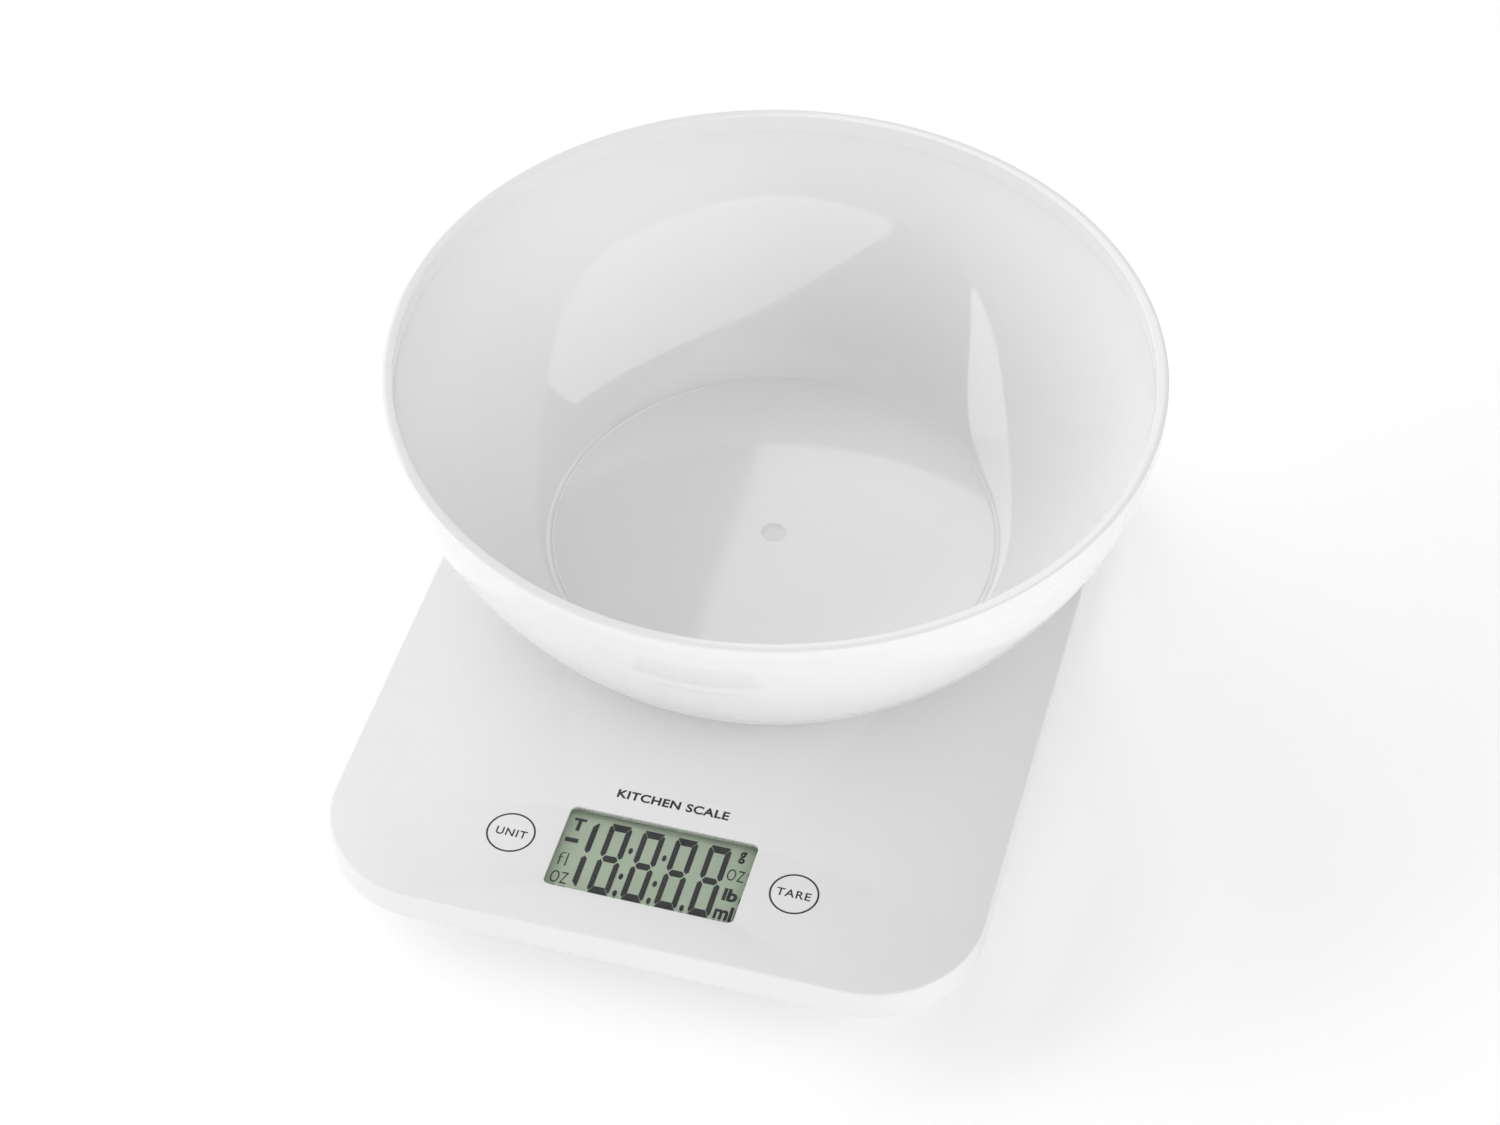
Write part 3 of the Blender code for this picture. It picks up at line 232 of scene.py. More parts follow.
def rolled_metal(name, dark, light, gloss, stretch):
    """Plated or rolled metal with fine lines one way and a little cloudiness."""
    material, shader = new_material(name, light, gloss[0], metallic=1.0)
    links = material.node_tree.links
    lines = noise(material, 900.0, 3.0, stretch=stretch)
    tone = spread(material, noise(material, 60.0, 4.0), 0.0, 1.0)
    links.new(shade_between(material, tone, dark, light), shader.inputs["Base Color"])
    links.new(spread(material, lines, gloss[0], gloss[1]), shader.inputs["Roughness"])
    grain(material, shader, lines, 0.004 * MM)
    return material


def clear(name, tint, ior, roughness):
    """Clear plastic or glass with the faint ripple of a moulded sheet."""
    material, shader = new_material(name, tint, roughness, transmission_weight=1.0, ior=ior)
    grain(material, shader, noise(material, 120.0, 2.0), 0.002 * MM)
    return material


BOWL_WHITE = moulded("bowl_plastic", (0.84, 0.84, 0.845), (0.87, 0.87, 0.872), (0.04, 0.06),
                     1400.0, 0.0002 * MM)
CASE_WHITE = moulded("case_plastic", (0.80, 0.80, 0.80), (0.83, 0.83, 0.83), (0.36, 0.44),
                     3200.0, 0.004 * MM)
BLACK_INK = moulded("printed_ink", (0.012, 0.012, 0.014), (0.03, 0.03, 0.032), (0.35, 0.5),
                    5000.0, 0.003 * MM, 120.0)
CRYSTAL_DARK = moulded("lcd_segments", (0.010, 0.010, 0.014), (0.02, 0.02, 0.026), (0.3, 0.4),
                       5000.0, 0.001 * MM, 90.0)
CLEAR_WINDOW = clear("clear_window", (0.99, 1.0, 0.99), 1.2, 0.0)
LCD_FILM = moulded("lcd_film", (0.52, 0.625, 0.475), (0.56, 0.66, 0.51), (0.45, 0.6),
                   4000.0, 0.001 * MM, 60.0)
LCD_GREEN = moulded("lcd_back_glass", (0.36, 0.43, 0.33), (0.40, 0.47, 0.36), (0.35, 0.5),
                    4000.0, 0.002 * MM, 60.0)
REFLECTOR = moulded("lcd_reflector", (0.5, 0.55, 0.48), (0.6, 0.64, 0.57), (0.4, 0.55),
                    6000.0, 0.004 * MM, 60.0)
RUBBER = moulded("grey_rubber", (0.30, 0.30, 0.31), (0.38, 0.38, 0.39), (0.7, 0.85),
                 2500.0, 0.02 * MM, 40.0)
ZEBRA_RUBBER = moulded("zebra_rubber", (0.02, 0.02, 0.02), (0.5, 0.36, 0.38), (0.6, 0.7),
                       900.0, 0.01 * MM, 900.0)
BOARD_GREEN = moulded("board_laminate", (0.02, 0.12, 0.045), (0.04, 0.2, 0.08), (0.35, 0.5),
                      2600.0, 0.01 * MM, 180.0)
BLACK_RESIN = moulded("black_resin", (0.012, 0.012, 0.013), (0.03, 0.03, 0.03), (0.2, 0.35),
                      500.0, 0.03 * MM, 200.0)
STEEL = rolled_metal("plated_steel", (0.50, 0.50, 0.49), (0.66, 0.66, 0.64), (0.24, 0.4), (1, 8, 8))
BRASS = rolled_metal("spring_brass", (0.62, 0.47, 0.24), (0.80, 0.64, 0.36), (0.22, 0.36), (4, 4, 1))
BATTERY_SKIN = moulded("battery_skin", (0.03, 0.035, 0.05), (0.06, 0.065, 0.085), (0.25, 0.35),
                       900.0, 0.006 * MM, 70.0)
BATTERY_BAND = moulded("battery_band", (0.62, 0.40, 0.20), (0.72, 0.50, 0.27), (0.22, 0.32),
                       900.0, 0.006 * MM, 70.0)
SILICONE = moulded("gauge_silicone", (0.70, 0.70, 0.66), (0.82, 0.82, 0.78), (0.3, 0.5),
                   400.0, 0.05 * MM, 160.0)
LEAD_GREY = moulded("lead_grey", (0.36, 0.36, 0.37), (0.44, 0.44, 0.45), (0.4, 0.55),
                    1500.0, 0.01 * MM, 90.0)
LEAD_RED = moulded("lead_red", (0.45, 0.02, 0.015), (0.6, 0.04, 0.03), (0.35, 0.5),
                   1500.0, 0.01 * MM, 90.0)
LEAD_BLACK = moulded("lead_black", (0.012, 0.012, 0.012), (0.03, 0.03, 0.03), (0.35, 0.5),
                     1500.0, 0.01 * MM, 90.0)


# ---------------- shapes

def arc(centre, radius, start, end, steps):
    """Points on an arc, angles in degrees, both ends included."""
    points = []
    for step in range(steps + 1):
        angle = math.radians(start + (end - start) * step / steps)
        points.append((centre[0] + radius * math.cos(angle), centre[1] + radius * math.sin(angle)))
    return points


def rounded(half, front, rear, radius, steps):
    """A rectangle with round corners, counter-clockwise from the front right."""
    outline = []
    corners = ((half - radius, front + radius, -90), (half - radius, rear - radius, 0),
               (-half + radius, rear - radius, 90), (-half + radius, front + radius, 180))
    for x, y, start in corners:
        outline += arc((x, y), radius, start, start + 90, steps)
    return outline


def new_object(name, mesh):
    obj = bpy.data.objects.new(name, mesh)
    bpy.context.scene.collection.objects.link(obj)
    return obj


def soften(obj, angle=30.0):
    """Even shading, with creases kept where the surface really turns."""
    obj.data.shade_smooth()
    obj.data.set_sharp_from_angle(angle=math.radians(angle))
    return obj


def closed(work):
    """Weld a mesh and turn its faces outwards."""
    bmesh.ops.remove_doubles(work, verts=work.verts, dist=0.0005 * MM)
    bmesh.ops.recalc_face_normals(work, faces=work.faces)


def from_work(name, work, material):
    mesh = bpy.data.meshes.new(name)
    work.to_mesh(mesh)
    work.free()
    mesh.materials.clear()
    mesh.materials.append(material)
    return new_object(name, mesh)


def plain_mesh(obj):
    """The mesh an object comes to, its modifiers or letters worked out; the object goes."""
    bpy.context.view_layer.update()
    evaluated = obj.evaluated_get(bpy.context.evaluated_depsgraph_get())
    mesh = bpy.data.meshes.new_from_object(evaluated)
    bpy.data.objects.remove(obj)
    return mesh


def mesh_alone(obj):
    """A small piece's mesh, for copying; its object goes."""
    mesh = obj.data
    bpy.data.objects.remove(obj)
    return mesh


def middle(low, high, z):
    """The middle of a box seen from above, at a height."""
    return Vector(((low.x + high.x) / 2, (low.y + high.y) / 2, z))


def add_ring(work, outline, z):
    return [work.verts.new((x, y, z)) for x, y in outline]


def bridge(work, lower, upper):
    count = len(lower)
    for i in range(count):
        j = (i + 1) % count
        work.faces.new((lower[i], lower[j], upper[j], upper[i]))


def fill_between(work, *rings):
    """Fill the flat area between an outer ring and the rings inside it."""
    edges = []
    for ring in rings:
        for a, b in zip(ring, ring[1:] + ring[:1]):
            edges.append(work.edges.get((a, b)) or work.edges.new((a, b)))
    bmesh.ops.triangle_fill(work, use_beauty=True, edges=edges)


def lofted(work, outlines):
    """Skin a stack of (outline, height) rings; the first and last rings are handed back."""
    rings = [add_ring(work, outline, z) for outline, z in outlines]
    for lower, upper in zip(rings, rings[1:]):
        bridge(work, lower, upper)
    return rings[0], rings[-1]


def slab_with_edges(name, outline_at, low, high, edge, steps, material):
    """A flat piece with rounded edges; outline_at gives its outline at an inset."""
    turns = [math.pi / 2 * i / steps for i in range(steps + 1)]
    layers = [(outline_at(edge * (1 - math.sin(t))), low + edge * (1 - math.cos(t))) for t in turns]
    layers += [(outline_at(edge * (1 - math.cos(t))), high - edge * (1 - math.sin(t))) for t in turns]
    work = bmesh.new()
    first, last = lofted(work, layers)
    work.faces.new(first)
    work.faces.new(last)
    closed(work)
    return soften(from_work(name, work, material))


# ---------------- geometry nodes

def new_tree(name, inputs):
    """A node tree with a shape in and out, a material, and named inputs for its sizes."""
    tree = bpy.data.node_groups.new(name, "GeometryNodeTree")
    tree.is_modifier = True
    face = tree.interface
    face.new_socket("Shape", in_out="INPUT", socket_type="NodeSocketGeometry")
    for label, kind in (*inputs, ("Material", "Material")):
        face.new_socket(label, in_out="INPUT", socket_type="NodeSocket" + kind)
    face.new_socket("Result", in_out="OUTPUT", socket_type="NodeSocketGeometry")
    return tree, tree.nodes.new("NodeGroupInput").outputs


def step(tree, kind, inputs=(), **values):
    """Add a node; inputs are (socket, value or the socket that feeds it)."""
    node = tree.nodes.new(kind)
    for key, value in values.items():
        setattr(node, key, value)
    for socket, source in inputs:
        if isinstance(source, bpy.types.NodeSocket):
            tree.links.new(source, node.inputs[socket])
        else:
            node.inputs[socket].default_value = source
    return node


def worked_out(tree, operation, *values):
    """A sum on numbers or sockets."""
    return step(tree, "ShaderNodeMath", list(enumerate(values)), operation=operation).outputs[0]


def copies_at(tree, given, shape):
    """A copy of a shape at each point of the Places object."""
    places = step(tree, "GeometryNodeObjectInfo", [("Object", given["Places"])])
    copies = step(tree, "GeometryNodeInstanceOnPoints",
                  [("Points", places.outputs["Geometry"]), ("Instance", shape)])
    return copies.outputs[0]


def finish_tree(tree, given, result):
    """Every tree ends in real geometry with its material on."""
    real = step(tree, "GeometryNodeRealizeInstances", [("Geometry", result)])
    painted = step(tree, "GeometryNodeSetMaterial",
                   [("Geometry", real.outputs[0]), ("Material", given["Material"])])
    tree.links.new(painted.outputs[0], tree.nodes.new("NodeGroupOutput").inputs[0])
    return tree


def grow(name, tree, values, source=None):
    """Run a tree on a source mesh and hand back the result as a plain object."""
    seed = new_object(name + "_seed", source or bpy.data.meshes.new(name + "_seed"))
    modifier = seed.modifiers.new("grow", "NODES")
    modifier.node_group = tree
    for item in tree.interface.items_tree:
        if item.in_out == "INPUT" and item.name in values:
            modifier[item.identifier] = values[item.name]
    mesh = plain_mesh(seed)
    mesh.name = name
    work = bmesh.new()
    work.from_mesh(mesh)
    closed(work)
    work.to_mesh(mesh)
    work.free()
    return new_object(name, mesh)


def turning_tree():
    """Turn a profile about Z. Each column of a grid is the profile at one angle."""
    tree, given = new_tree("turned", [("Steps", "Int")])
    count = step(tree, "GeometryNodeAttributeDomainSize", [("Geometry", given["Shape"])])
    rows = count.outputs["Point Count"]
    columns = worked_out(tree, "ADD", given["Steps"], 1.0)
    grid = step(tree, "GeometryNodeMeshGrid", [("Vertices X", columns), ("Vertices Y", rows)])
    index = step(tree, "GeometryNodeInputIndex").outputs[0]
    column = worked_out(tree, "FLOOR", worked_out(tree, "DIVIDE", index, rows))
    row = worked_out(tree, "MODULO", index, rows)
    where = step(tree, "GeometryNodeInputPosition")
    point = step(tree, "GeometryNodeSampleIndex",
                 [("Geometry", given["Shape"]), ("Index", row)],
                 data_type="FLOAT_VECTOR", domain="POINT")
    tree.links.new(where.outputs[0], point.inputs["Value"])
    part = step(tree, "ShaderNodeSeparateXYZ", [(0, point.outputs[0])])
    full = worked_out(tree, "MULTIPLY", column, 2 * math.pi)
    angle = worked_out(tree, "DIVIDE", full, given["Steps"])
    x = worked_out(tree, "MULTIPLY", part.outputs["X"], worked_out(tree, "COSINE", angle))
    y = worked_out(tree, "MULTIPLY", part.outputs["X"], worked_out(tree, "SINE", angle))
    position = step(tree, "ShaderNodeCombineXYZ",
                    [("X", x), ("Y", y), ("Z", part.outputs["Z"])])
    moved = step(tree, "GeometryNodeSetPosition",
                 [("Geometry", grid.outputs["Mesh"]), ("Position", position.outputs[0])])
    welded = step(tree, "GeometryNodeMergeByDistance",
                  [("Geometry", moved.outputs[0]), ("Distance", 0.001 * MM)])
    return finish_tree(tree, given, welded.outputs[0])


def coiling_tree():
    """A round wire along a coil."""
    tree, given = new_tree("coiled", [
        ("Turns", "Float"), ("Low Radius", "Float"), ("High Radius", "Float"),
        ("Height", "Float"), ("Wire Radius", "Float"),
    ])
    coil = step(tree, "GeometryNodeCurveSpiral", [
        ("Resolution", 24), ("Rotations", given["Turns"]),
        ("Start Radius", given["Low Radius"]),
        ("End Radius", given["High Radius"]), ("Height", given["Height"]),
    ])
    ring = step(tree, "GeometryNodeCurvePrimitiveCircle",
                [("Resolution", 10), ("Radius", given["Wire Radius"])])
    wire = step(tree, "GeometryNodeCurveToMesh", [
        ("Curve", coil.outputs[0]), ("Profile Curve", ring.outputs[0]), ("Fill Caps", True),
    ])
    return finish_tree(tree, given, wire.outputs[0])


def setting_tree():
    """Set a copy of the shape at each point of another object."""
    tree, given = new_tree("set_out", [("Places", "Object")])
    return finish_tree(tree, given, copies_at(tree, given, given["Shape"]))


def lining_tree():
    """Repeat the shape along a straight row."""
    tree, given = new_tree("row", [
        ("Count", "Int"), ("Start", "Vector"), ("Step", "Vector"),
    ])
    line = step(tree, "GeometryNodeMeshLine", [
        ("Count", given["Count"]), ("Start Location", given["Start"]),
        ("Offset", given["Step"]),
    ], mode="OFFSET")
    copies = step(tree, "GeometryNodeInstanceOnPoints",
                  [("Points", line.outputs[0]), ("Instance", given["Shape"])])
    return finish_tree(tree, given, copies.outputs[0])


def hooping_tree():
    """A flat hoop of even stroke at each point of another object."""
    tree, given = new_tree("hoops", [
        ("Places", "Object"), ("Radius", "Float"), ("Stroke", "Float"), ("Thickness", "Float"),
    ])
    circle = step(tree, "GeometryNodeCurvePrimitiveCircle",
                  [("Resolution", 128), ("Radius", given["Radius"])])
    section = step(tree, "GeometryNodeCurvePrimitiveQuadrilateral",
                   [("Width", given["Stroke"]), ("Height", given["Thickness"])])
    hoop = step(tree, "GeometryNodeCurveToMesh",
                [("Curve", circle.outputs[0]), ("Profile Curve", section.outputs[0])])
    return finish_tree(tree, given, copies_at(tree, given, hoop.outputs[0]))


def bossing_tree():
    """Stand screw bosses on a shell and open a hole up each of them."""
    tree, given = new_tree("bossed", [
        ("Places", "Object"), ("Radius", "Float"), ("Hole", "Float"), ("Length", "Float"),
        ("Depth", "Float"),
    ])
    shell = given["Shape"]
    for radius, length, operation in (("Radius", "Length", "UNION"), ("Hole", "Depth", "DIFFERENCE")):
        post = step(tree, "GeometryNodeMeshCylinder", [
            ("Vertices", 32), ("Radius", given[radius]), ("Depth", given[length]),
        ])
        half = worked_out(tree, "MULTIPLY", given[length], 0.5)
        lift = step(tree, "ShaderNodeCombineXYZ", [("Z", half)])
        raised = step(tree, "GeometryNodeTransform",
                      [("Geometry", post.outputs["Mesh"]), ("Translation", lift.outputs[0])])
        posts = copies_at(tree, given, raised.outputs[0])
        real = step(tree, "GeometryNodeRealizeInstances", [("Geometry", posts)])
        joined = step(tree, "GeometryNodeMeshBoolean", [], operation=operation, solver="EXACT")
        tree.links.new(real.outputs[0], joined.inputs["Mesh 2"])
        shell_side = "Mesh 2" if operation == "UNION" else "Mesh 1"
        tree.links.new(shell, joined.inputs[shell_side])
        shell = joined.outputs["Mesh"]
    return finish_tree(tree, given, shell)


TURNED = turning_tree()
COILED = coiling_tree()
SET_OUT = setting_tree()
ROW = lining_tree()
HOOPS = hooping_tree()
BOSSED = bossing_tree()


def turned(name, profile, material, matrix, steps=96, angle=30.0):
    """A turned piece, its profile given as (radius, height) from one end to the other."""
    mesh = bpy.data.meshes.new(name + "_profile")
    mesh.from_pydata([(r, 0.0, z) for r, z in profile],
                     [(i, i + 1) for i in range(len(profile) - 1)], [])
    obj = grow(name, TURNED, {"Steps": steps, "Material": material}, mesh)
    obj.data.transform(matrix)
    return soften(obj, angle)


def coiled(name, turns, low, high, height, wire, material, matrix):
    obj = grow(name, COILED, {
        "Turns": turns, "Low Radius": low, "High Radius": high, "Height": height,
        "Wire Radius": wire, "Material": material,
    })
    obj.data.transform(matrix)
    return soften(obj, 50.0)


def at_places(name, tree, places, values, source=None):
    """Grow a tree that wants a set of points, and remove the points after."""
    mesh = bpy.data.meshes.new(name + "_places")
    mesh.from_pydata([tuple(place) for place in places], [], [])
    markers = new_object(name + "_places", mesh)
    obj = grow(name, tree, {"Places": markers, **values}, source)
    bpy.data.objects.remove(markers)
    return obj


def row_of(name, source, count, start, pitch, material):
    """Repeat a small piece along a row."""
    return grow(name, ROW, {"Count": count, "Start": start, "Step": pitch, "Material": material},
                mesh_alone(source))


def settle(obj, body, slot_name, *nodes):
    """Let a finished piece ride on its body and stand for its CAD nodes."""
    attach(obj, body)
    if nodes:
        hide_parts(*nodes)
    return obj


def smooth_copy(node, body, slot_name, material):
    """A welded, evenly shaded copy of a piece whose shape is already right."""
    work = bmesh.new()
    work.from_mesh(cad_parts[node].data)
    bmesh.ops.remove_doubles(work, verts=work.verts, dist=0.001 * MM)
    bmesh.ops.dissolve_limit(work, angle_limit=math.radians(0.5), verts=work.verts,
                             edges=work.edges)
    obj = from_work(node + "_finish", work, material)
    soften(obj, 32.0)
    return settle(obj, body, slot_name, node)


# ---------------- bowl

def bezier(a, b, c, d, steps):
    """Points on a curve from a to d, drawn towards b and c."""
    points = []
    for i in range(steps + 1):
        t = i / steps
        s = 1 - t
        points.append(tuple(s ** 3 * w + 3 * s * s * t * x + 3 * s * t * t * y + t ** 3 * z
                            for w, x, y, z in zip(a, b, c, d)))
    return points


def offset_left(points, distance):
    """A line of points moved sideways, to the left of the way it runs."""
    moved = []
    for i, (x, y) in enumerate(points):
        before = points[max(i - 1, 0)]
        after = points[min(i + 1, len(points) - 1)]
        along = Vector((after[0] - before[0], after[1] - before[1])).normalized()
        moved.append((x - along.y * distance, y + along.x * distance))
    return moved


def bowl_profile():
    """From the gate mark out over the floor, up the inside, over the rim and down again."""
    wall = bezier((BASE_RADIUS, 0.0), (BASE_RADIUS + BASE_PULL, 0.0),
                  (WALL_RADIUS, WALL_HEIGHT - WALL_PULL), (WALL_RADIUS, WALL_HEIGHT), 64)
    inside = offset_left(wall, WALL)
    top = WALL_HEIGHT + BAND_HEIGHT
    rim_in = BAND_RADIUS - RIM_WIDTH
    # Gate mark: a shallow cup with a small raised pip
    profile = [(0.0, WALL - 0.28 * MM), (0.5 * MM, WALL - 0.3 * MM), (0.9 * MM, WALL - 0.42 * MM),
               (1.4 * MM, WALL - 0.5 * MM), (2.0 * MM, WALL - 0.47 * MM),
               (2.6 * MM, WALL - 0.25 * MM), (2.9 * MM, WALL - 0.05 * MM), (3.1 * MM, WALL),
               (3.3 * MM, WALL), (4.5 * MM, WALL)]
    # Floor, then the fine raised line where the wall's curve starts
    line = BASE_RADIUS
    profile += [(line * 0.35, WALL), (line * 0.7, WALL), (line - 2.5 * MM, WALL),
                (line - 1.05 * MM, WALL), (line - 0.9 * MM, WALL), (line - 0.8 * MM, WALL + 0.1 * MM),
                (line - 0.62 * MM, WALL + 0.13 * MM), (line - 0.44 * MM, WALL + 0.1 * MM),
                (line - 0.36 * MM, WALL + 0.01 * MM), (line - 0.2 * MM, WALL)]
    profile += inside[1:-1]
    # Inner lip of the rim: a fine groove, then the flat top
    profile += [(rim_in - 0.12 * MM, WALL_HEIGHT - 0.1 * MM),
                (rim_in - 0.02 * MM, WALL_HEIGHT + 0.4 * MM)]
    profile += arc((rim_in + 0.32 * MM, top - 0.32 * MM), 0.32 * MM, 180, 90, 5)
    profile += arc((BAND_RADIUS - 0.42 * MM, top - 0.42 * MM), 0.42 * MM, 90, 0, 6)
    profile += arc((BAND_RADIUS - 0.15 * MM, WALL_HEIGHT + 0.15 * MM), 0.15 * MM, 0, -90, 3)
    profile += [(WALL_RADIUS + 0.06 * MM, WALL_HEIGHT)]
    profile += wall[::-1][1:-1]
    # Underside: a shallow foot ring round a slightly hollow base
    profile += [(BASE_RADIUS, 0.0), (BASE_RADIUS - 2.4 * MM, 0.0), (BASE_RADIUS - 2.9 * MM, 0.35 * MM),
                (BASE_RADIUS * 0.6, 0.42 * MM), (BASE_RADIUS * 0.3, 0.45 * MM), (0.0, 0.45 * MM)]
    return profile


def make_bowl():
    place = Matrix.Translation(BOWL_CENTRE)
    bowl = turned("bowl_moulding", bowl_profile(), BOWL_WHITE, place, 256, 24.0)
    settle(bowl, "bowl", "bowl_plastic", "bowl")


# ---------------- platform

def plate_outline(inset):
    return rounded(HALF_WIDTH - inset, FRONT_Y + inset, REAR_Y - inset, PLATE_CORNER - inset, 24)


def window_outline(grow_by):
    return rounded(WINDOW_HALF_WIDTH + grow_by, WINDOW_FRONT - grow_by, WINDOW_REAR + grow_by,
                   WINDOW_CORNER + grow_by, 8)


def screw_places():
    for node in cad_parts:
        if node.startswith("case_screw_"):
            low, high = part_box(node)
            yield node, middle(low, high, low.z)


def make_platform():
    work = bmesh.new()
    edge = EDGE_ROUND
    foot = 0.25 * MM
    outside = [(plate_outline(edge * (1 - math.sin(t))), PLATFORM_Z - edge * (1 - math.cos(t)))
               for t in [math.pi / 12 * i for i in range(7)]]
    outside += [(plate_outline(0.0), SKIRT_Z + foot), (plate_outline(foot), SKIRT_Z),
                (plate_outline(SKIRT_WALL - foot), SKIRT_Z), (plate_outline(SKIRT_WALL), SKIRT_Z + foot),
                (plate_outline(SKIRT_WALL), CEILING_Z)]
    top_out, ceiling_out = lofted(work, outside)
    crisp = 0.1 * MM
    pocket_z = CEILING_Z + LENS_FLANGE + CLEARANCE
    opening = [(window_outline(crisp), PLATFORM_Z),
               (window_outline(crisp * 0.3), PLATFORM_Z - crisp * 0.3),
               (window_outline(0.0), PLATFORM_Z - crisp), (window_outline(0.0), pocket_z),
               (window_outline(LENS_MARGIN + CLEARANCE), pocket_z),
               (window_outline(LENS_MARGIN + CLEARANCE), CEILING_Z)]
    top_in, ceiling_in = lofted(work, opening)
    fill_between(work, top_out, top_in)
    fill_between(work, ceiling_out, ceiling_in)
    closed(work)
    mesh = bpy.data.meshes.new("platform_blank")
    work.to_mesh(mesh)
    work.free()
    places = [(place.x, place.y, SKIRT_Z) for _, place in screw_places()]
    platform = at_places("platform", BOSSED, places, {
        "Radius": BOSS_RADIUS, "Hole": BOSS_HOLE_RADIUS, "Length": CEILING_Z + 0.5 * MM - SKIRT_Z,
        "Depth": CEILING_Z - BOSS_TIP - SKIRT_Z, "Material": CASE_WHITE,
    }, mesh)
    soften(platform, 25.0)
    settle(platform, "case", "case_plastic", "top_shell")


# ---------------- printing on the platform

def lettering(name, words, cap_height, width, centre, z, material, weight=0.0, spacing=1.0):
    """Plain upright letters, set to a height and a width about their middle."""
    curve = bpy.data.curves.new(name, "FONT")
    curve.body = words
    curve.size = 1.0
    curve.offset = weight
    curve.space_character = spacing
    curve.resolution_u = 8
    mesh = plain_mesh(new_object(name + "_text", curve))
    work = bmesh.new()
    work.from_mesh(mesh)
    bpy.data.meshes.remove(mesh)
    bmesh.ops.remove_doubles(work, verts=work.verts, dist=0.0005)
    xs = [v.co.x for v in work.verts]
    ys = [v.co.y for v in work.verts]
    wide = width / (max(xs) - min(xs))
    tall = cap_height / (max(ys) - min(ys))
    for vert in work.verts:
        vert.co.x = centre[0] - width / 2 + (vert.co.x - min(xs)) * wide
        vert.co.y = centre[1] - cap_height / 2 + (vert.co.y - min(ys)) * tall
        vert.co.z = z
    raised = bmesh.ops.extrude_face_region(work, geom=work.faces[:])
    for item in raised["geom"]:
        if isinstance(item, bmesh.types.BMVert):
            item.co.z = z + INK_HEIGHT
    bmesh.ops.recalc_face_normals(work, faces=work.faces)
    return from_work(name, work, material)


def make_prints():
    ink_z = PLATFORM_Z + INK_LIFT
    centres = [(side * KEY_X, KEY_Y, ink_z + INK_HEIGHT / 2) for side in (-1, 1)]
    rings = at_places("key_rings", HOOPS, centres, {
        "Radius": KEY_RING_RADIUS, "Stroke": KEY_RING_STROKE, "Thickness": INK_HEIGHT,
        "Material": BLACK_INK,
    })
    settle(rings, "case", "case_plastic")
    for name, word, width, x in (("unit_label", "UNIT", 7.1 * MM, -32.5 * MM),
                                 ("tare_label", "TARE", 7.8 * MM, 32.55 * MM)):
        label = lettering(name, word, KEY_LETTER_HEIGHT, width, (x, KEY_Y), ink_z, BLACK_INK,
                          KEY_LETTER_WEIGHT, KEY_LETTER_SPACING)
        settle(label, "case", "case_plastic")
    title = lettering("front_label", "KITCHEN SCALE", 2.4 * MM, 26.0 * MM, (0.0, TITLE_Y), ink_z,
                      BLACK_INK, 0.03, 1.08)
    settle(title, "case", "case_plastic")


# ---------------- display

def mirrored(points, x_way, y_way):
    return [(x * x_way, y * y_way) for x, y in points]


# A digit's segments, in millimetres from its middle
DIGIT_TOP = [(-2.05, 9.92), (2.05, 9.92), (2.22, 9.66), (1.18, 7.98), (-1.18, 7.98), (-2.22, 9.66)]
DIGIT_SIDE = [(-2.57, 1.06), (-1.95, 0.36), (-1.30, 1.34), (-1.30, 8.05), (-2.15, 9.34), (-2.57, 8.78)]
DIGIT_MIDDLE = [(-1.76, 0.0), (-1.24, 0.88), (1.24, 0.88), (1.76, 0.0), (1.24, -0.88), (-1.24, -0.88)]
ONE_HALF = [(-0.65, 1.16), (0.0, 0.36), (0.65, 1.16), (0.65, 8.9), (0.38, 9.18), (-0.65, 7.9)]


def flat_shapes(name, shapes, z, origin=(0.0, 0.0)):
    """Thin raised shapes from outlines in millimetres."""
    work = bmesh.new()
    for shape in shapes:
        area = sum(a[0] * b[1] - b[0] * a[1] for a, b in zip(shape, shape[1:] + shape[:1]))
        points = shape if area > 0 else shape[::-1]
        outline = [(origin[0] + x * MM, origin[1] + y * MM) for x, y in points]
        low = add_ring(work, outline, z)
        high = add_ring(work, outline, z + SEGMENT_HEIGHT)
        bridge(work, low, high)
        work.faces.new(low[::-1])
        work.faces.new(high)
    bmesh.ops.recalc_face_normals(work, faces=work.faces)
    return from_work(name, work, CRYSTAL_DARK)


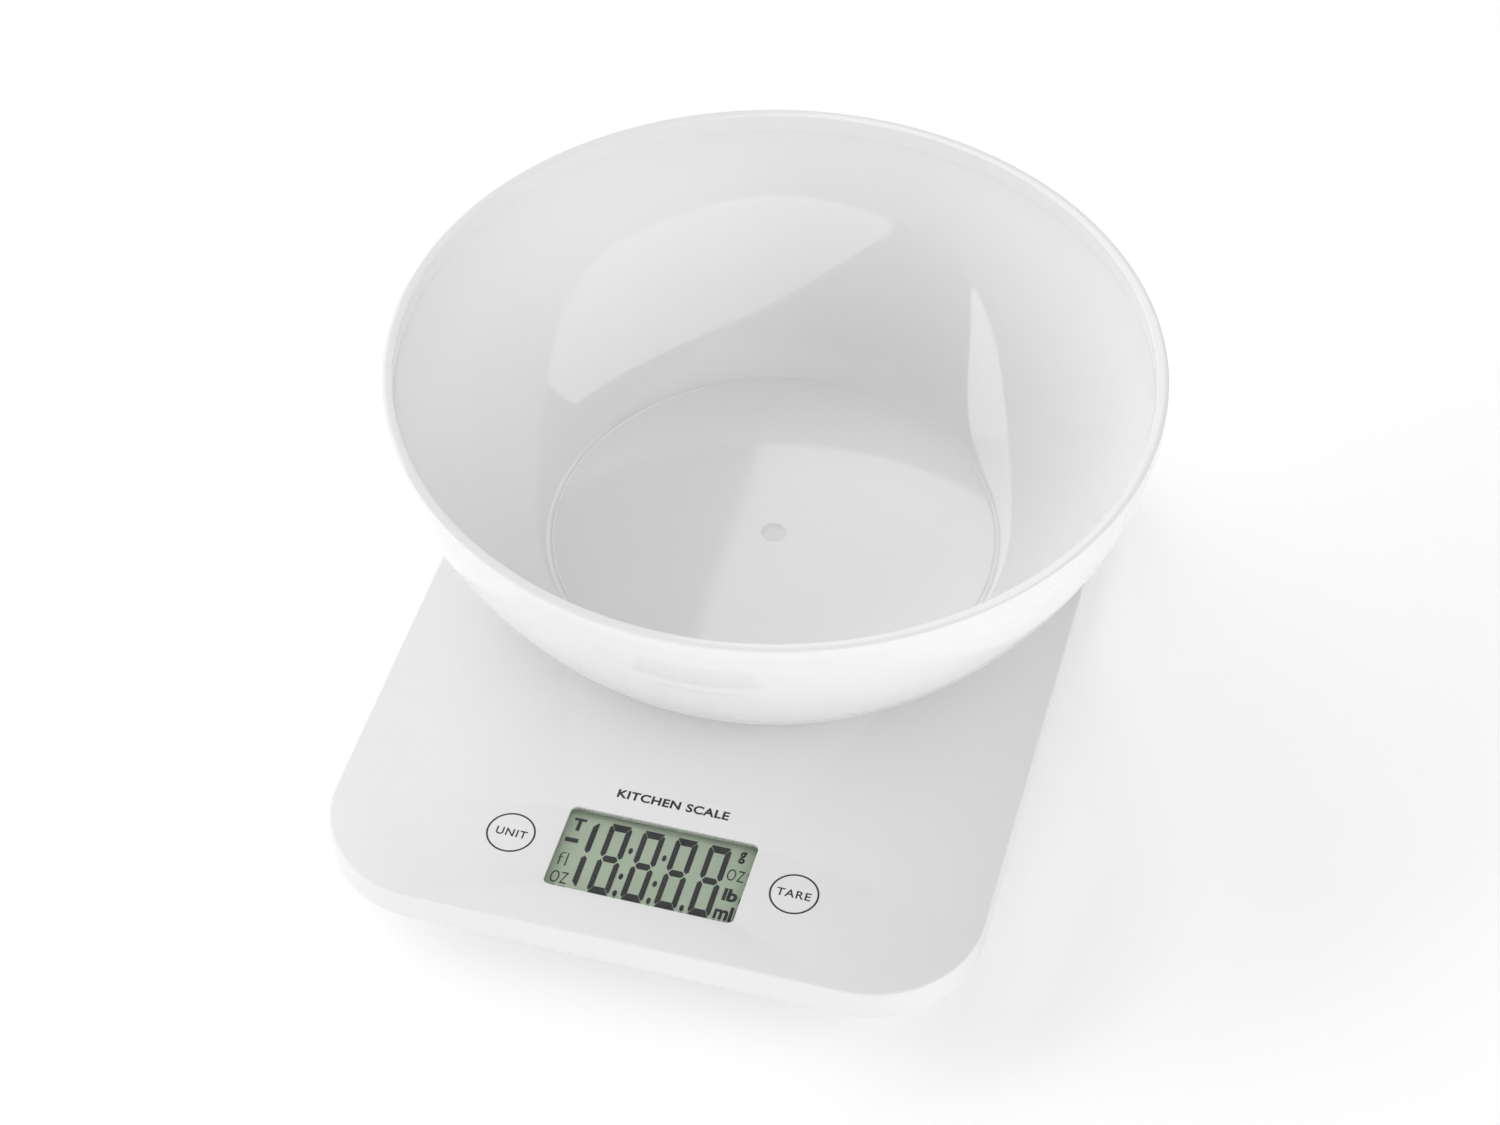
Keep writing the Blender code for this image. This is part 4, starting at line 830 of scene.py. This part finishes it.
def make_lcd():
    segment_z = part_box("lcd_front_glass")[1].z + SEGMENT_LIFT
    digit = [DIGIT_TOP, mirrored(DIGIT_TOP, 1, -1), DIGIT_MIDDLE]
    digit += [mirrored(DIGIT_SIDE, x, y) for x in (1, -1) for y in (1, -1)]
    places = [(DISPLAY_MIDDLE.x + FIRST_DIGIT_X + DIGIT_PITCH * i, DISPLAY_MIDDLE.y, segment_z)
              for i in range(4)]
    digits = at_places("lcd_digits", SET_OUT, places, {"Material": CRYSTAL_DARK},
                       mesh_alone(flat_shapes("digit", digit, 0.0)))
    settle(digits, "case", "display_front_glass")

    one = [[(x - 15.35, y) for x, y in ONE_HALF], [(x - 15.35, -y) for x, y in ONE_HALF]]
    dots = [[(x + 0.5 * math.cos(a), y + 0.88 * math.sin(a))
             for a in [math.pi / 12 * i for i in range(24)]]
            for x, y in ((-6.0, 3.45), (-6.0, -3.95), (-6.0, -8.75), (1.75, 3.45), (1.75, -3.95),
                         (1.75, -8.75), (9.3, -8.75))]
    minus = [(-21.05, 2.45), (-18.05, 2.45), (-18.05, 3.65), (-21.05, 3.65)]
    tee = [(-20.6, 9.4), (-20.6, 8.65), (-19.62, 8.65), (-19.62, 5.85), (-18.75, 5.85), (-18.75, 8.65),
           (-17.75, 8.65), (-17.75, 9.4)]
    signs = flat_shapes("lcd_signs", one + dots + [minus, tee], segment_z, DISPLAY_MIDDLE)
    settle(signs, "case", "display_front_glass")

    # Word, letter height, width, place from the display's middle, weight
    words = (("fl", 3.6, 2.3, -19.95, -2.45, -0.02), ("oz", 3.3, 3.9, -19.15, -7.6, -0.015),
             ("g", 3.4, 1.5, 18.45, 8.15, 0.035), ("oz", 3.2, 3.9, 18.35, 2.95, -0.015),
             ("lb", 3.5, 3.3, 18.65, -2.6, 0.04), ("ml", 3.9, 4.1, 18.45, -7.6, 0.035))
    for number, (word, height, width, x, y, weight) in enumerate(words):
        place = (DISPLAY_MIDDLE.x + x * MM, DISPLAY_MIDDLE.y + y * MM)
        label = lettering("lcd_word_%d" % number, word, height * MM, width * MM, place, segment_z,
                          CRYSTAL_DARK, weight)
        settle(label, "case", "display_front_glass")


def make_lens():
    work = bmesh.new()
    shoulder = CEILING_Z + LENS_FLANGE
    crisp = 0.12 * MM
    layers = [(window_outline(LENS_MARGIN), CEILING_Z), (window_outline(LENS_MARGIN), shoulder),
              (window_outline(-CLEARANCE), shoulder), (window_outline(-CLEARANCE), LENS_HIGH.z - crisp),
              (window_outline(-CLEARANCE - crisp * 0.3), LENS_HIGH.z - crisp * 0.3),
              (window_outline(-CLEARANCE - crisp), LENS_HIGH.z)]
    first, last = lofted(work, layers)
    work.faces.new(first)
    work.faces.new(last)
    closed(work)
    lens = soften(from_work("window_lens", work, CLEAR_WINDOW), 25.0)
    settle(lens, "case", "clear_window", "display_lens")


# ---------------- display layers and board

def sheet_in(name, node, corner, edge, material):
    """A flat piece with round corners and softened edges, in the space of a CAD sheet."""
    low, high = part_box(node)
    half = (high.x - low.x) / 2

    def outline_at(inset):
        return rounded(half - inset, low.y + inset, high.y - inset, corner, 4)

    return slab_with_edges(name, outline_at, low.z, high.z, edge, 3, material)


def make_display_layers():
    sheets = (("lcd_front_glass", "lcd_top_glass", LCD_FILM, "display_front_glass"),
              ("lcd_back_glass", "lcd_lower_glass", LCD_GREEN, "display_back_glass"),
              ("lcd_reflector", "lcd_foil", REFLECTOR, "display_reflector"))
    for node, name, material, slot_name in sheets:
        settle(sheet_in(name, node, 0.5 * MM, 0.06 * MM, material), "case", slot_name, node)
    strip = sheet_in("contact_rubber", "zebra_strip", 0.4 * MM, 0.25 * MM, ZEBRA_RUBBER)
    settle(strip, "case", "grey_rubber", "zebra_strip")
    smooth_copy("lcd_frame", "case", "case_plastic", CASE_WHITE)


def make_board():
    smooth_copy("main_board", "case", "board_laminate", BOARD_GREEN)
    board_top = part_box("main_board")[1].z
    strip_low, strip_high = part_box("zebra_strip")

    def pad_outline(inset):
        return rounded(0.35 * MM - inset, -0.8 * MM + inset, 0.8 * MM - inset, 0.12 * MM, 2)

    pad = slab_with_edges("pad", pad_outline, 0.0, 0.04 * MM, 0.015 * MM, 1, BRASS)
    pitch = 1.25 * MM
    count = int((strip_high.x - strip_low.x) / pitch)
    start = (-pitch * (count - 1) / 2, (strip_low.y + strip_high.y) / 2, board_top)
    pads = row_of("board_pads", pad, count, start, (pitch, 0.0, 0.0), BRASS)
    settle(pads, "case", "spring_brass")

    low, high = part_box("chip_cover")
    radius = (high.x - low.x) / 2
    height = high.z - low.z
    blob = [(0.0, -height)] + [(radius * x, -height * y) for x, y in arc((0.0, 0.0), 1.0, 82, 6, 9)]
    blob += [(radius, 0.0), (0.0, 0.0)]
    place = Matrix.Translation(middle(low, high, high.z))
    cover = turned("chip_resin", blob, BLACK_RESIN, place, 64, 60.0)
    settle(cover, "case", "black_resin", "chip_cover")

    low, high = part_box("capacitor")
    radius = (high.x - low.x) / 2
    top = high.z - low.z
    can = [(0.0, 0.0), (radius * 0.8, 0.0), (radius * 0.97, 0.15 * MM), (radius, 0.35 * MM),
           (radius, 0.7 * MM), (radius * 0.9, 0.85 * MM), (radius * 0.9, 0.95 * MM), (radius, 1.1 * MM),
           (radius, top - 0.35 * MM), (radius * 0.93, top - 0.08 * MM), (radius * 0.84, top),
           (radius * 0.6, top - 0.06 * MM), (0.0, top - 0.06 * MM)]
    place = Matrix.Translation(middle(low, high, low.z))
    settle(turned("capacitor_can", can, STEEL, place, 48), "case", "plated_steel", "capacitor")

    for label, side in (("unit", -1), ("tare", 1)):
        node = "touch_spring_" + label
        low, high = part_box(node)
        place = Matrix.Translation((side * KEY_X, KEY_Y, low.z + WIRE_RADIUS))
        spring = coiled("touch_coil_" + label, KEY_COIL_TURNS, KEY_COIL_RADIUS, KEY_COIL_RADIUS,
                        high.z - low.z - 2 * WIRE_RADIUS, WIRE_RADIUS, BRASS, place)
        settle(spring, "case", "spring_brass", node)


# ---------------- screws

def screw_mesh(name, head_radius, head_height, radius, length):
    """A pan-head screw with rolled threads and a cross recess; head up, underside at height 0."""
    dome = [(head_radius * x, head_height * (0.3 + 0.7 * y)) for x, y in arc((0.0, 0.0), 1.0, 90, 0, 8)]
    profile = dome + [(head_radius * 0.98, 0.0), (radius, 0.0)]
    pitch = radius * 0.9
    turns = int((length - radius) / pitch)
    for i in range(turns):
        top = -pitch * (i + 0.2)
        profile += [(radius * 0.78, top), (radius * 0.78, top - pitch * 0.3),
                    (radius, top - pitch * 0.5), (radius, top - pitch * 0.6)]
    profile += [(radius * 0.7, -length + radius), (radius * 0.2, -length), (0.0, -length)]
    blank = turned(name, profile, STEEL, Matrix.Identity(4), 40)
    cross = bmesh.new()
    depth = head_height * 0.62
    reach = head_radius * 0.62
    for half_x, half_y in ((reach, reach * 0.24), (reach * 0.24, reach)):
        corners = [(x * half_x, y * half_y) for x, y in ((-1, -1), (1, -1), (1, 1), (-1, 1))]
        low = add_ring(cross, [(x * 0.6, y * 0.6) for x, y in corners], head_height - depth)
        high = add_ring(cross, corners, head_height * 1.3)
        bridge(cross, low, high)
        cross.faces.new(low[::-1])
        cross.faces.new(high)
    cutter = from_work(name + "_recess", cross, STEEL)
    cut = blank.modifiers.new("recess", "BOOLEAN")
    cut.operation = "DIFFERENCE"
    cut.solver = "EXACT"
    cut.use_self = True
    cut.object = cutter
    mesh = plain_mesh(blank)
    bpy.data.objects.remove(cutter)
    return mesh


def make_screws():
    low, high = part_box("case_screw_rear_left")
    head = 1.5 * MM
    case_screw = screw_mesh("case_screw", 2.7 * MM, head, 1.3 * MM, high.z - low.z - head)
    case_screw.transform(Matrix.Rotation(math.pi, 4, "X"))
    places = [place + Vector((0.0, 0.0, head)) for _, place in screw_places()]
    screws = soften(at_places("case_screws", SET_OUT, places, {"Material": STEEL}, case_screw))
    settle(screws, "case", "plated_steel", *[node for node, _ in screw_places()])

    nodes = ("board_screw_left", "board_screw_right")
    head = 1.0 * MM
    places = []
    for node in nodes:
        low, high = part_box(node)
        places.append(middle(low, high, high.z - head))
    board_screw = screw_mesh("board_screw", 2.0 * MM, head, 1.0 * MM, high.z - low.z - head)
    screws = soften(at_places("board_screws", SET_OUT, places, {"Material": STEEL}, board_screw))
    settle(screws, "case", "plated_steel", *nodes)


# ---------------- batteries, contacts and cover

def make_batteries():
    for row, way in (("front", 1), ("rear", -1)):
        low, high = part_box("battery_" + row)
        radius = (high.z - low.z) / 2
        length = high.x - low.x
        flat_end = low.x if way > 0 else high.x
        axis_y = (low.y + high.y) / 2
        axis_z = (low.z + high.z) / 2
        along = Matrix.Rotation(way * math.pi / 2, 4, "Y")
        place = Matrix.Translation((flat_end, axis_y, axis_z)) @ along
        can = radius - 0.12 * MM
        shoulder = length - 1.0 * MM
        steel = [(0.0, 0.15 * MM), (can * 0.5, 0.15 * MM), (can * 0.58, 0.0), (can - 0.5 * MM, 0.0),
                 (can - 0.1 * MM, 0.25 * MM), (can, 0.6 * MM), (can, shoulder - 0.6 * MM),
                 (can - 0.15 * MM, shoulder - 0.2 * MM), (can - 0.7 * MM, shoulder),
                 (2.6 * MM, shoulder - 0.1 * MM), (1.95 * MM, shoulder), (1.9 * MM, length - 0.25 * MM),
                 (1.65 * MM, length), (0.0, length)]
        cell = turned("battery_can_" + row, steel, STEEL, place, 72)
        band = shoulder - 10.5 * MM
        for part, start, end, material in (("skin", 0.3 * MM, band, BATTERY_SKIN),
                                           ("band", band, shoulder - 0.3 * MM, BATTERY_BAND)):
            sleeve = [(can - 0.02 * MM, start), (radius - 0.05 * MM, start), (radius, start + 0.05 * MM),
                      (radius, end - 0.05 * MM), (radius - 0.05 * MM, end), (can - 0.02 * MM, end),
                      (can - 0.02 * MM, start)]
            obj = turned("battery_%s_%s" % (part, row), sleeve, material, place, 72)
            settle(obj, "case", "battery_skin")
        settle(cell, "case", "plated_steel", "battery_" + row)

        coil_low, coil_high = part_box("contact_spring_" + row)
        start = coil_low.x + WIRE_RADIUS if way > 0 else coil_high.x - WIRE_RADIUS
        coil = coiled("contact_coil_" + row, CELL_COIL_TURNS, CELL_COIL_WIDE, CELL_COIL_NARROW,
                      CELL_COIL_LENGTH, WIRE_RADIUS, STEEL,
                      Matrix.Translation((start, axis_y, axis_z)) @ along)
        settle(coil, "case", "plated_steel", "contact_spring_" + row)


def make_contacts():
    for node in ("contact_bridge", "contact_positive", "contact_negative"):
        low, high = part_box(node)
        half = (high.y - low.y) / 2
        thickness = high.x - low.x

        def outline_at(inset):
            return rounded(half - inset, inset, high.z - low.z - inset, 0.8 * MM, 5)

        plate = slab_with_edges(node + "_plate", outline_at, 0.0, thickness, 0.06 * MM, 2, STEEL)
        turn = Matrix(((0, 0, 1, low.x), (1, 0, 0, (low.y + high.y) / 2), (0, 1, 0, low.z), (0, 0, 0, 1)))
        plate.data.transform(turn)
        settle(plate, "case", "plated_steel", node)


def make_cover():
    smooth_copy("battery_cover", "battery_cover", "case_plastic", CASE_WHITE)
    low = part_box("battery_cover")[0]
    ridge = bmesh.new()
    half = 4.4 * MM
    width = 0.28 * MM
    height = 0.25 * MM
    section = [(x * width, -height * y) for x, y in arc((0.0, 0.0), 1.0, 180, 0, 6)]
    ends = [[ridge.verts.new((x * (1.0 - 0.08 * (-z) / height), y, z)) for y, z in section]
            for x in (-half, half)]
    bridge(ridge, *ends)
    ridge.faces.new(ends[0])
    ridge.faces.new(ends[1])
    bmesh.ops.recalc_face_normals(ridge, faces=ridge.faces)
    first = from_work("ridge", ridge, CASE_WHITE)
    ridges = row_of("cover_grip", first, 5, (0.0, low.y + 1.6 * MM, low.z + 0.02 * MM),
                    (0.0, 0.95 * MM, 0.0), CASE_WHITE)
    settle(soften(ridges), "battery_cover", "case_plastic")


# ---------------- weighing corners

def make_feet():
    for corner in CORNERS:
        body = "foot_" + corner
        low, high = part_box(body)
        place = Matrix.Translation(middle(low, high, 0.0))
        flange = (high.x - low.x) / 2
        soft = 0.2 * MM
        plunger = [(0.0, low.z), (STEM_RADIUS - 0.3 * MM, low.z), (STEM_RADIUS, low.z + 0.3 * MM),
                   (STEM_RADIUS, FLANGE_LOW - soft), (STEM_RADIUS + soft, FLANGE_LOW),
                   (flange - soft, FLANGE_LOW), (flange, FLANGE_LOW + soft),
                   (flange, FLANGE_HIGH - soft), (flange - soft, FLANGE_HIGH),
                   (NOSE_RADIUS + soft, FLANGE_HIGH), (NOSE_RADIUS, FLANGE_HIGH + 0.15 * MM),
                   (NOSE_RADIUS - 0.1 * MM, FLANGE_HIGH + 0.35 * MM), (1.2 * MM, high.z),
                   (0.0, high.z)]
        foot = turned("foot_plunger_" + corner, plunger, CASE_WHITE, place, 72)
        settle(foot, body, "case_plastic", body)

        pad_low, pad_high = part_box("foot_pad_" + corner)
        radius = (pad_high.x - pad_low.x) / 2
        pad = [(0.0, 0.0)]
        for ring in GROOVE_RADII:
            pad += [(ring - 0.35 * MM, 0.0), (ring - 0.2 * MM, GROOVE_DEPTH),
                    (ring + 0.2 * MM, GROOVE_DEPTH), (ring + 0.35 * MM, 0.0)]
        pad += [(r + radius - 0.35 * MM, z + 0.35 * MM) for r, z in arc((0.0, 0.0), 0.35 * MM, -90, 0, 4)]
        pad += [(radius, pad_high.z - 0.2 * MM), (radius - 0.2 * MM, pad_high.z), (0.0, pad_high.z)]
        sole = turned("foot_sole_" + corner, pad, RUBBER, place, 72)
        settle(sole, body, "grey_rubber", "foot_pad_" + corner)


def make_cells():
    for corner in CORNERS:
        smooth_copy("load_cell_" + corner, "case", "plated_steel", STEEL)
        smooth_copy("cell_retainer_" + corner, "case", "case_plastic", CASE_WHITE)
    nodes = ["strain_gauge_" + corner for corner in CORNERS]
    low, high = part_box(nodes[0])
    half = (high.x - low.x) / 2
    depth = (high.y - low.y) / 2

    def outline_at(inset):
        return rounded(half - inset, -depth + inset, depth - inset, 0.9 * MM, 5)

    blob = slab_with_edges("blob", outline_at, 0.0, high.z - low.z, 0.3 * MM, 4, SILICONE)
    places = []
    for node in nodes:
        low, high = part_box(node)
        places.append(middle(low, high, low.z))
    gauges = at_places("gauge_covers", SET_OUT, places, {"Material": SILICONE}, mesh_alone(blob))
    settle(soften(gauges, 60.0), "case", "gauge_silicone", *nodes)


# ---------------- leads and all together

def paint(node, material):
    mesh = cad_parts[node].data
    mesh.materials.clear()
    mesh.materials.append(material)


def finish_leads():
    """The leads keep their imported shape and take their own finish."""
    for corner in CORNERS:
        paint("cell_lead_" + corner, LEAD_GREY)
    paint("battery_lead_positive", LEAD_RED)
    paint("battery_lead_negative", LEAD_BLACK)


make_bowl()
make_platform()
make_prints()
make_lens()
make_lcd()
make_display_layers()
make_board()
make_screws()
make_batteries()
make_contacts()
make_cover()
smooth_copy("bottom_shell", "case", "case_plastic", CASE_WHITE)
make_feet()
make_cells()
finish_leads()


# ---------------- floor, light and camera

def make_floor():
    material, shader = new_material("pale_floor", (0.9, 0.9, 0.9), 0.6)
    tone = spread(material, noise(material, 2.0, 2.0), 0.0, 1.0)
    material.node_tree.links.new(
        shade_between(material, tone, (0.89, 0.89, 0.89), (0.91, 0.91, 0.91)),
        shader.inputs["Base Color"])
    shader.inputs["Emission Color"].default_value = (1.0, 1.0, 1.0, 1.0)
    shader.inputs["Emission Strength"].default_value = FLOOR_GLOW
    work = bmesh.new()
    bmesh.ops.create_circle(work, cap_ends=True, segments=64, radius=FLOOR_RADIUS)
    floor = from_work("floor", work, material)
    floor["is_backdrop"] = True


def softbox(name, facing, tilt, width, height, across, up, glow):
    """A soft panel: the way it stands from the object, its size, how far it is moved, its glow."""
    azimuth = math.radians(facing)
    elevation = math.radians(tilt)
    out = Vector((math.sin(azimuth) * math.cos(elevation), -math.cos(azimuth) * math.cos(elevation),
                  math.sin(elevation)))
    side = Vector((math.cos(azimuth), math.sin(azimuth), 0.0))
    upright = out.cross(side)
    light = bpy.data.lights.new(name, "AREA")
    light.shape = "RECTANGLE"
    light.size = width
    light.size_y = height
    light.energy = math.pi * width * height * glow
    lamp = bpy.data.objects.new(name, light)
    bpy.context.scene.collection.objects.link(lamp)
    place = LIT_POINT + out * PANEL_AWAY + side * across + upright * up
    turn = Matrix((side, upright, out)).transposed().to_4x4()
    lamp.matrix_world = Matrix.Translation(place) @ turn
    lamp.visible_camera = False


def wall_panel(name, facing, start, end, rise, glow):
    """An upright panel between two directions, from just over the horizon up to a slope."""
    left = PANEL_AWAY * math.tan(math.radians(start - facing))
    right = PANEL_AWAY * math.tan(math.radians(end - facing))
    top = PANEL_AWAY * rise
    softbox(name, facing, 0.0, right - left, top - WALL_START, (left + right) / 2,
            (top + WALL_START) / 2, glow)


def make_light():
    world = bpy.data.worlds.new("studio")
    world.use_nodes = True
    sky = world.node_tree.nodes["Background"]
    sky.inputs["Color"].default_value = (1.0, 1.0, 1.0, 1.0)
    sky.inputs["Strength"].default_value = WORLD_GLOW
    bpy.context.scene.world = world
    wall_panel("right_wall", 57.0, -20.0, 107.0, 0.98, 1.8)
    wall_panel("left_wall_front", -128.0, -92.0, -50.0, 1.118, 3.2)
    wall_panel("left_wall_back", -128.0, -150.0, -92.0, 1.118, 2.3)
    # Four panels that end a little apart, so that the edge of their reflection is soft
    left = 0.2
    for number, right in enumerate((0.458, 0.468, 0.478, 0.488)):
        softbox("back_panel_%d" % number, 165.0, 38.0, right - left, 0.3, (left + right) / 2, 0.21, 1.9)
    softbox("low_right", 40.0, 0.0, 2.63, 0.2, 0.115, 0.1, 0.5)
    softbox("overhead", 0.0, 89.0, 1.6, 1.6, 0.0, 0.0, 0.42)


def make_camera():
    azimuth = math.radians(15.476)
    elevation = math.radians(46.549)
    back = Vector((math.sin(azimuth) * math.cos(elevation),
                   -math.cos(azimuth) * math.cos(elevation), math.sin(elevation)))
    optics = bpy.data.cameras.new("camera")
    optics.lens = 86.14
    optics.sensor_width = 36.0
    camera = bpy.data.objects.new("camera", optics)
    bpy.context.scene.collection.objects.link(camera)
    camera.location = (0.15375, -0.558535, 0.64028)
    camera.rotation_mode = "QUATERNION"
    camera.rotation_quaternion = (-back).to_track_quat("-Z", "Y")
    bpy.context.scene.camera = camera


make_floor()
make_light()
make_camera()
scene = bpy.context.scene
scene.view_settings.view_transform = "Standard"
scene.cycles.use_denoising = True

boxes = {"cad": cad_box, "visual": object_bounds()}
{name: [list(corner) for corner in box] for name, box in boxes.items()}
